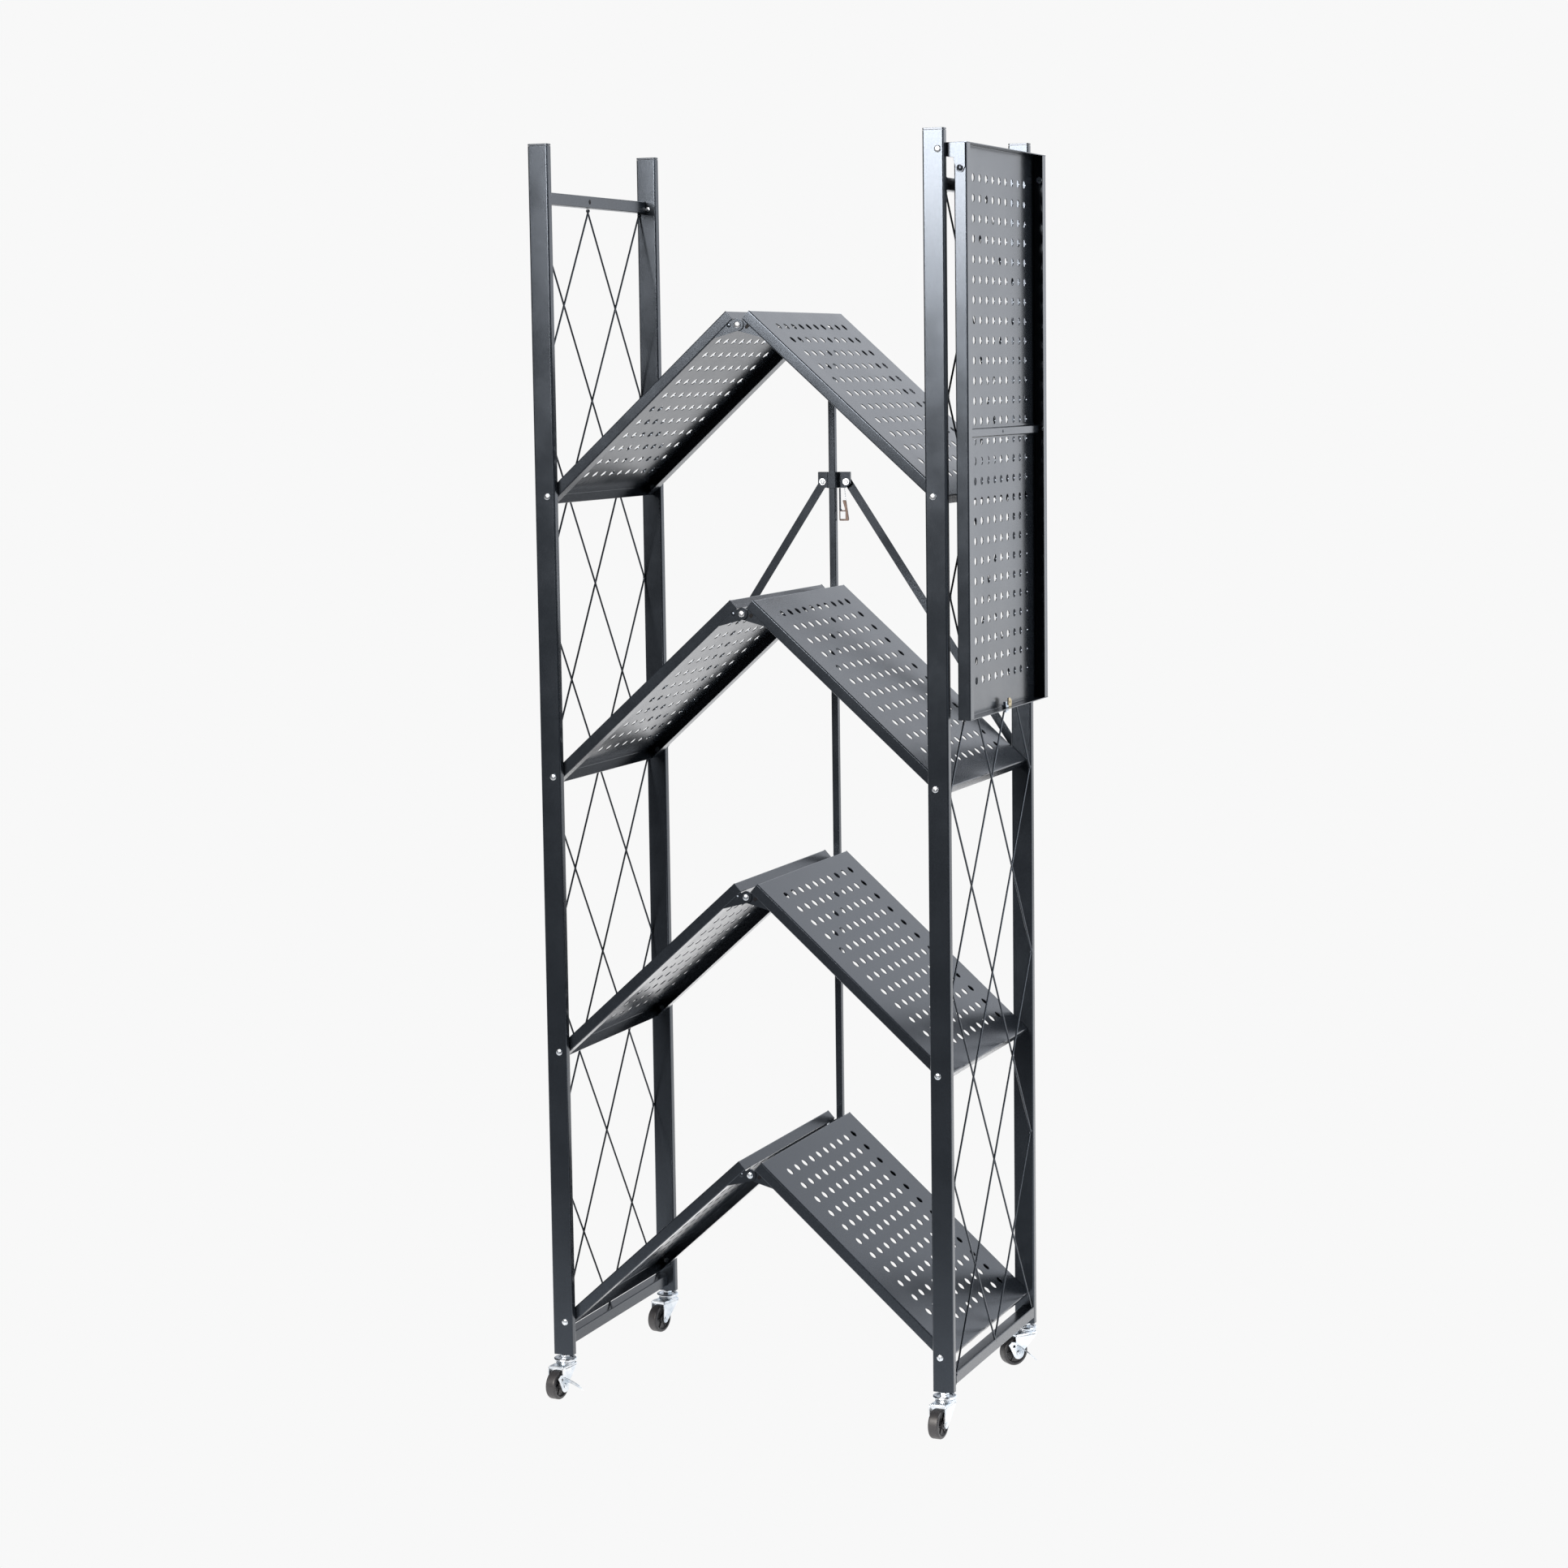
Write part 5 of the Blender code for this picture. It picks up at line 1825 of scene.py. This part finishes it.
    def build_arms(self) -> None:
        """Add the two flat arms."""
        radius = self.arm_width / 2
        for hand in Hand:
            node = f"{hand.word}_brace_arm"
            low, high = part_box(node)
            origin = self.layout.place(f"{hand.word}_arm_swing")
            run = high.x - low.x - 2 * radius
            rise = high.z - low.z - 2 * radius
            length = math.hypot(run, rise)
            angle = math.atan2(rise, run)
            strip = extrude(
                capsule(0.0, length, radius), 0.0, high.y - low.y, Plane.XZ,
                [circle(0, 0, self.arm_bores[0], 20), circle(length, 0, self.arm_bores[1], 16)],
            )
            swing = -angle if hand is Hand.LEFT else angle - math.pi
            place = Matrix.Translation((origin.x, low.y, origin.z)) @ Matrix.Rotation(swing, 4, "Y")
            self.shop.add(f"{node}_strip", shift(strip, place), self.paints.coat,
                          f"{hand.word}_arm", [node], bevel=0.0003)

    def build_trigger(self) -> None:
        """Add the pull under the collar: a dark stop strip, a pull wire and a strap with a ring."""
        low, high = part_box("latch_trigger")
        scale = (high.z - low.z) / self.drawn_pull
        back = low.x - 0.0065
        deep = (low.y + high.y) / 2

        def placed(points: Sequence[Point]) -> list[Point]:
            """Return drawn millimetres, right of the bar and under the collar, as a place."""
            return [(back + x / 1000, high.z + z / 1000 * scale) for x, z in points]

        strap = placed([
            (6.5, -27.8), (14.6, -27.8), (14.2, -25.3), (11.3, -16.2), (11.6, -15.3),
            (16.1, -15.3), (19.9, -39.2), (18.9, -41.0), (7.3, -41.0), (6.5, -40.2),
        ])
        window = placed([(7.6, -29.4), (7.6, -38.8), (15.0, -38.8), (15.0, -29.4)])
        loop = extrude(strap, low.y, high.y, Plane.XZ, [window])
        self.shop.add("trigger_loop", loop, self.paints.spring, "trigger", ["latch_trigger"],
                      bevel=0.0003)
        stop = placed([
            (6.5, 0.0), (8.7, 0.0), (8.9, -26.0), (10.2, -27.0), (10.2, -28.6), (6.5, -28.6),
        ])
        strip = extrude(stop, low.y - 0.0001, deep, Plane.XZ)
        self.shop.add("trigger_stop_strip", strip, self.paints.coat, "trigger")
        ends = [Vector((x, deep, z)) for x, z in placed([(14.0, 0.0), (15.8, -16.3)])]
        self.shop.add("trigger_pull_wire", rod(ends, self.wire_radius, 10), self.paints.zinc,
                      "trigger", sharp=60)

    def build(self) -> None:
        """Add the whole brace."""
        self.build_bar()
        self.build_collar()
        self.build_collar_bolts()
        self.build_arms()
        self.build_trigger()


@dataclass
class Caster(Assembly):
    """One swivel caster, drawn about its swivel axis with the wheel trailing along +X."""

    name: str
    drawn_axle: float = 0.019
    wheel_width: float = 0.014
    tread_corner: float = 0.0026
    ribs: int = 6
    half_width: float = 0.0115
    leg_thickness: float = 0.0015
    channel_thickness: float = 0.0016
    fork_bend: float = 0.0026
    fork_skirt: float = 0.0395
    crown_top: float = 0.0435
    crown_radius: float = 0.0118
    race_top: float = 0.0505
    race_low: float = 0.0465
    race_radius: float = 0.0130
    neck_radius: float = 0.0062
    shank_radius: float = 0.0036
    plug_half: Point = (0.0118, 0.0043)
    eye_radius: float = 0.0050
    axle_radius: float = 0.0024
    axle_head: Point = (0.0036, 0.0015)
    lever_gap: float = 0.0003
    lever_thickness: float = 0.0012
    lever_eye: float = 0.0085
    tab_reach: float = 0.0165
    tab_sag: float = 0.0042
    tab_steps: int = 8

    @property
    def swivel(self) -> Vector:
        """The swivel axis on the floor."""
        point = self.layout.place(f"{self.name}_swivel")
        return Vector((point.x, point.y, 0.0))

    @property
    def axle(self) -> Vector:
        """The middle of the axle."""
        return self.layout.place(f"{self.name}_roll")

    @property
    def drop(self) -> float:
        """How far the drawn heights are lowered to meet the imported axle."""
        return self.drawn_axle - self.axle.z

    @property
    def heading(self) -> float:
        """The direction in which the wheel trails."""
        return math.atan2(self.axle.y - self.swivel.y, self.axle.x - self.swivel.x)

    @property
    def trail(self) -> float:
        """Distance from the swivel axis to the axle."""
        return math.hypot(self.axle.y - self.swivel.y, self.axle.x - self.swivel.x)

    @property
    def upright(self) -> Matrix:
        """Where what doesn't swivel goes."""
        return Matrix.Translation((self.swivel.x, self.swivel.y, -self.drop))

    @property
    def swivelled(self) -> Matrix:
        """Where what is drawn about the swivel axis goes."""
        return self.upright @ Matrix.Rotation(self.heading, 4, "Z")

    @property
    def rolled(self) -> Matrix:
        """Where what is drawn about the axle goes."""
        return Matrix.Translation(self.axle) @ Matrix.Rotation(self.heading, 4, "Z")

    def build_stem(self) -> None:
        """Add the plug, hexagon neck and race plate."""
        node = f"{self.name}_stem"
        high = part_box(node)[1].z + self.drop
        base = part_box(f"{self.name}_post")[0].z + self.drop
        low = self.race_low
        top = self.race_top
        race = [
            (0.0, low), (0.0124, low),
            *arc(self.race_radius, (low + top) / 2, (top - low) / 2, -80, 80, 8),
            (0.0106, top - 0.0003), (0.0098, top - 0.0012), (0.0, top - 0.0012),
        ]
        neck = [
            (0.0, low), (self.neck_radius, low), (self.neck_radius, base - 0.0012),
            (0.0050, base - 0.0004), (0.0, base - 0.0004),
        ]
        x, y = self.plug_half
        stem = merge([
            turn(race, 40, Axis.Z), turn(neck, 6, Axis.Z),
            cylinder(self.shank_radius, base - 0.003, base + 0.004, 16, Axis.Z),
            extrude(rounded(-x, x, -y, y, 0.0008, 3), base + 0.0006, high, Plane.XY),
        ])
        frame = f"{self.name.split('_')[1]}_frame"
        self.shop.add(f"{node}_and_race", shift(stem, self.upright), self.paints.zinc, frame, [node],
                      bevel=0.0002)

    def leg_outline(self) -> list[Point]:
        """Return the tapered outline of a fork leg, seen from the side.

        Returns:
            Its corners, in order.
        """
        top = self.crown_top - 0.0012
        return [
            *arc(-0.0063, top - 0.0025, 0.0025, 90, 180, 3), (-0.0088, 0.0385),
            *arc(self.trail, self.drawn_axle, self.eye_radius, 215, 385, 12),
            *arc(0.0209, top - 0.0022, 0.0022, 0, 90, 3),
        ]

    def crown(self) -> list[Solid]:
        """Return the fork's bent channel, its shoulder and brow, and the rings under the race.

        Returns:
            A closed mesh for each.
        """
        half = self.half_width
        top = self.crown_top
        bend = self.fork_bend
        radius = self.crown_radius
        path = [
            (-half, self.fork_skirt), *arc(-half + bend, top - bend, bend, 180, 90, 4),
            *arc(half - bend, top - bend, bend, 90, 0, 4), (half, self.fork_skirt),
        ]
        shoulder = rounded(-radius, 0.0100, -half * 0.86, half * 0.86, 0.005, 5)
        brow = rounded(-half + 0.0012, half - 0.0012, 0.0400, top - 0.0008, 0.0012, 3)
        ring = [(0.0, top - 0.0006), (radius, top - 0.0006), (0.0122, top + 0.0006),
                (0.0116, top + 0.0014), (0.0, top + 0.0014)]
        return [
            extrude(thick_path(path, -self.channel_thickness), -0.0100, 0.0225, Plane.YZ),
            extrude(shoulder, top - 0.0022, top, Plane.XY),
            extrude(brow, 0.0212, 0.0232, Plane.YZ),
            turn(ring, 36, Axis.Z), cylinder(0.0106, top, self.race_low - 0.0004, 36, Axis.Z),
        ]

    def build_fork(self, braked: bool) -> None:
        """Add the pressed fork with its axle, which is longer where it carries a lever.

        Args:
            braked: True where the caster has a brake lever.
        """
        half = self.half_width
        near = half + (2 * self.lever_gap + self.lever_thickness if braked else 0.0)
        centre = (self.trail, 0, self.drawn_axle)
        legs = [
            extrude(self.leg_outline(), lo, lo + self.leg_thickness, Plane.XZ)
            for lo in (-half, half - self.leg_thickness)
        ]
        heads = [
            rivet(*self.axle_head, 0.0003, 22, Axis.Y, (self.trail, seat, self.drawn_axle), sign)
            for seat, sign in ((near, 1), (-half, -1))
        ]
        axle = cylinder(self.axle_radius, -half, near, 18, Axis.Y, centre)
        node = f"{self.name}_fork"
        fork = shift(merge([*self.crown(), *legs, axle, *heads]), self.swivelled)
        self.shop.add(f"{node}_pressing", fork, self.paints.zinc, f"{self.name}_caster", [node],
                      bevel=0.0003)

    def build_wheel(self) -> None:
        """Add the wheel with its rounded tread, recessed sides and ribs."""
        node = f"{self.name}_wheel"
        half = self.wheel_width / 2
        corner = self.tread_corner
        rim = self.axle.z - corner
        turns = [math.radians(a) for a in QUARTER_TURN]
        side = [
            (0.0029, half + 0.0012), (0.0050, half + 0.0012), (0.0056, half + 0.0004),
            (0.0060, half - 0.0026), (0.0134, half - 0.0026), (0.0142, half - 0.0018),
            (0.0148, half - 0.0002), (0.0153, half),
            *[(rim + corner * math.sin(a), half - corner + corner * math.cos(a)) for a in turns],
        ]
        profile = [*side, *[(r, -along) for r, along in reversed(side)]]
        parts = [turn(profile, 48, Axis.Y, ring=True)]
        web = [(0.0052, -0.0005), (0.0140, -0.0005), (0.0140, 0.0005), (0.0052, 0.0005)]
        for i in range(self.ribs):
            rib = extrude(web, -half + 0.0014, half - 0.0014, Plane.XZ)
            parts.append(shift(rib, Matrix.Rotation(math.tau * i / self.ribs, 4, "Y")))
        self.shop.add(f"{node}_tread", shift(merge(parts), self.rolled), self.paints.tyre,
                      f"{self.name}_roller", [node], sharp=32)

    def foot_tab(self, near: float) -> Solid:
        """Return the bent tab of the brake lever, from the plate outward.

        Args:
            near: where the lever's plate starts along Y.

        Returns:
            A closed mesh.
        """
        rows = []
        for i in range(self.tab_steps + 1):
            t = i / self.tab_steps
            out = near + self.tab_reach * t
            sag = self.tab_sag * t * (1 - t)
            one = Vector((0.0040 - 0.0125 * t, out, 0.0128 - 0.0123 * t + sag))
            two = Vector((-0.0066 - 0.0119 * t, out, 0.0040 - 0.0130 * t + sag))
            rows.append((one, two))
        normal = (rows[0][1] - rows[0][0]).cross(rows[-1][0] - rows[0][0]).normalized()
        back = normal * self.lever_thickness
        tab = bmesh.new()
        rings = [
            [tab.verts.new(corner) for corner in (one, two, two + back, one + back)]
            for one, two in rows
        ]
        return loft(tab, rings)

    def build_lever(self) -> None:
        """Add the brake lever with its square window and bent foot tab."""
        node = f"{self.name}_brake_lever"
        near = self.half_width + self.lever_gap
        outline = [
            (0.0112, 0.0160), (0.0060, 0.0150), *arc(0, 0, self.lever_eye, 140, 330, 18),
            *arc(0.0135, 0.0120, 0.0020, -60, 60, 4),
        ]
        plate = extrude(
            outline, near, near + self.lever_thickness, Plane.XZ,
            [circle(0, 0, 0.0029, 18), rounded(0.0056, 0.0090, 0.0078, 0.0112, 0.0003, 1)],
        )
        lever = shift(merge([plate, self.foot_tab(near)]), self.rolled)
        self.shop.add(f"{node}_pressing", lever, self.paints.zinc, f"{self.name}_brake", [node],
                      bevel=0.0003)

    def build(self, braked: bool) -> None:
        """Add the whole caster.

        Args:
            braked: True where the caster has a brake lever.
        """
        self.build_stem()
        self.build_fork(braked)
        self.build_wheel()
        if braked:
            self.build_lever()


@dataclass
class Studio:
    """The pale floor, the surround, the lights and the camera."""

    camera_place: tuple[float, float, float] = (1.609, -4.116, 1.3106)
    camera_azimuth: float = 21.58
    camera_pitch: float = 6.84
    camera_roll: float = -0.79
    focal_pixels: float = 4275.0
    shift_pixels: Point = (-3.4, -6.9)
    sensor_width: float = 36.0
    floor_radius: float = 14.0
    paper: Colour = (0.939, 0.939, 0.939)
    floor_dark: Colour = (0.03, 0.03, 0.035)
    floor_light: Colour = (0.84, 0.84, 0.84)
    floor_ramp: Point = (-1.5, 0.3)
    floor_cloud: float = 0.06
    floor_glow: float = 0.9
    far_ramp: Point = (2.0, 6.0)
    far_fade: float = 0.3
    room_glow: float = 0.05
    room_tint: Colour = (0.92, 0.97, 1.06)
    backdrop_glow: float = 1.3
    backdrop_tint: Colour = (0.955, 0.985, 1.05)
    backdrop_ramp: Point = (0.1, 0.92)
    side_ramp: Point = (0.1, 0.45)
    side_fade: float = 0.24

    def floor_finish(self) -> bpy.types.Material:
        """Return the floor's finish: it glows behind the rack and is dark in front of it.

        The camera itself sees the same white as the surround.

        Returns:
            The finished material.
        """
        mat = bpy.data.materials.new("pale floor")
        mat.use_nodes = True
        tree = mat.node_tree
        shader = tree.nodes["Principled BSDF"].inputs
        place = add_node(tree, "ShaderNodeTexCoord", "Object")
        along = split(tree, place)["Y"]
        near = stretch(tree, along, *self.floor_ramp)
        cloud = noise_value(tree, place, 0.8, 2.0)
        patch = calculate(tree, "MULTIPLY_ADD", cloud, self.floor_cloud, near)
        seen = camera_ray(tree)
        tint = mix_colours(tree, patch, (*self.floor_dark, 1.0), (*self.floor_light, 1.0))
        base = mix_colours(tree, seen, tint, (0.0, 0.0, 0.0, 1.0))
        far = stretch(tree, along, *self.far_ramp)
        fade = calculate(
            tree, "MULTIPLY_ADD", far, -self.far_fade * self.floor_glow, self.floor_glow
        )
        glow = calculate(tree, "MULTIPLY", near, fade)
        feed(tree, base, shader["Base Color"])
        feed(tree, calculate(tree, "MAXIMUM", glow, seen), shader["Emission Strength"])
        shader["Emission Color"].default_value = (*self.paper, 1.0)
        shader["Roughness"].default_value = 1.0
        shader["Specular IOR Level"].default_value = 0.0
        return mat

    def build_floor(self) -> None:
        """Add the plain round floor."""
        bm = bmesh.new()
        bmesh.ops.create_circle(bm, cap_ends=True, radius=self.floor_radius, segments=96)
        mesh = bpy.data.meshes.new("studio floor")
        bm.to_mesh(mesh)
        bm.free()
        mesh.materials.append(self.floor_finish())
        floor = bpy.data.objects.new("studio_floor", mesh)
        bpy.context.scene.collection.objects.link(floor)

    def build_world(self) -> None:
        """Set the surround: white behind the rack, and a dim room in front of it."""
        world = bpy.data.worlds.new("pale surround")
        world.use_nodes = True
        tree = world.node_tree
        heading = split(tree, add_node(tree, "ShaderNodeTexCoord", "Generated"))
        lean = calculate(tree, "ADD", heading["X"], heading["Y"])
        behind = stretch(tree, lean, *self.backdrop_ramp)
        beside = stretch(tree, heading["X"], *self.side_ramp)
        bright, faded = [
            (*(glow * part for part in self.backdrop_tint), 1.0)
            for glow in (self.backdrop_glow, self.backdrop_glow * (1 - self.side_fade))
        ]
        dim = (*(self.room_glow * part for part in self.room_tint), 1.0)
        room = mix_colours(tree, behind, dim, mix_colours(tree, beside, bright, faded))
        final = mix_colours(tree, camera_ray(tree), room, (*self.paper, 1.0))
        back = tree.nodes["Background"].inputs
        feed(tree, final, back["Color"])
        back["Strength"].default_value = 1.0
        bpy.context.scene.world = world

    def add_light(
        self, name: str, place: Sequence[float], aim: Sequence[float], size: Point, power: float,
        tint: Colour = (1.0, 1.0, 1.0),
    ) -> None:
        """Add a soft light that stays out of the picture.

        Args:
            name: name of the light.
            place: where it stands.
            aim: the point that it looks at.
            size: its width and height.
            power: its power in watts.
            tint: its colour.
        """
        data = bpy.data.lights.new(name, "AREA")
        data.shape = "RECTANGLE"
        data.size, data.size_y = size
        data.energy = power
        data.color = tint
        light = bpy.data.objects.new(name, data)
        light.location = place
        heading = Vector(aim) - Vector(place)
        light.rotation_euler = heading.to_track_quat("-Z", "Y").to_euler()
        light.visible_camera = False
        bpy.context.scene.collection.objects.link(light)

    def build_camera(self) -> None:
        """Add the camera that takes the photograph's view."""
        data = bpy.data.cameras.new("camera")
        data.sensor_width = self.sensor_width
        data.lens = self.focal_pixels * data.sensor_width / IMAGE_SIDE
        data.shift_x = -self.shift_pixels[0] / IMAGE_SIDE
        data.shift_y = -self.shift_pixels[1] / IMAGE_SIDE
        camera = bpy.data.objects.new("camera", data)
        turned = (
            Matrix.Rotation(math.radians(self.camera_azimuth), 4, "Z")
            @ Matrix.Rotation(math.radians(90.0 - self.camera_pitch), 4, "X")
            @ Matrix.Rotation(math.radians(self.camera_roll), 4, "Z")
        )
        camera.matrix_world = Matrix.Translation(self.camera_place) @ turned
        bpy.context.scene.collection.objects.link(camera)
        bpy.context.scene.camera = camera

    def build(self) -> None:
        """Add the whole studio."""
        bpy.context.scene.view_settings.view_transform = "Standard"
        self.build_floor()
        self.build_world()
        self.add_light("key light", (3.4, 0.2, 2.6), (0.0, 0.0, 0.8), (1.8, 1.8), 70.0)
        self.add_light("front box", (-0.87, -4.1, 2.56), (0.0, 0.0, 2.0), (1.7, 1.8), 400.0,
                       (1.03, 0.97, 0.92))
        self.add_light("back box", (2.05, 3.3, 1.2), (0.3, 0.0, 1.2), (1.5, 1.7), 10.0)
        self.build_camera()


def main() -> None:
    """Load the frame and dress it."""
    logging.basicConfig(level=logging.INFO, format="%(name)s: %(message)s")
    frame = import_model()
    layout = Layout({joint["name"]: joint for joint in frame["joints"]})
    shop = Workshop(Paintbox())
    Studio().build()
    for hand in Hand:
        SideFrame(shop, layout, hand).build()
    for assembly in (Leaf, MiddlePins, UpperShelf, Brace):
        assembly(shop, layout).build()
    braked = {name.replace("_brake_press", "") for name in layout.joints if "brake" in name}
    for name in ("front_left", "rear_left", "front_right", "rear_right"):
        Caster(shop, layout, name).build(name in braked)
    LOG.info("%d pieces", len(shop.names))


if __name__ == "__main__":
    main()
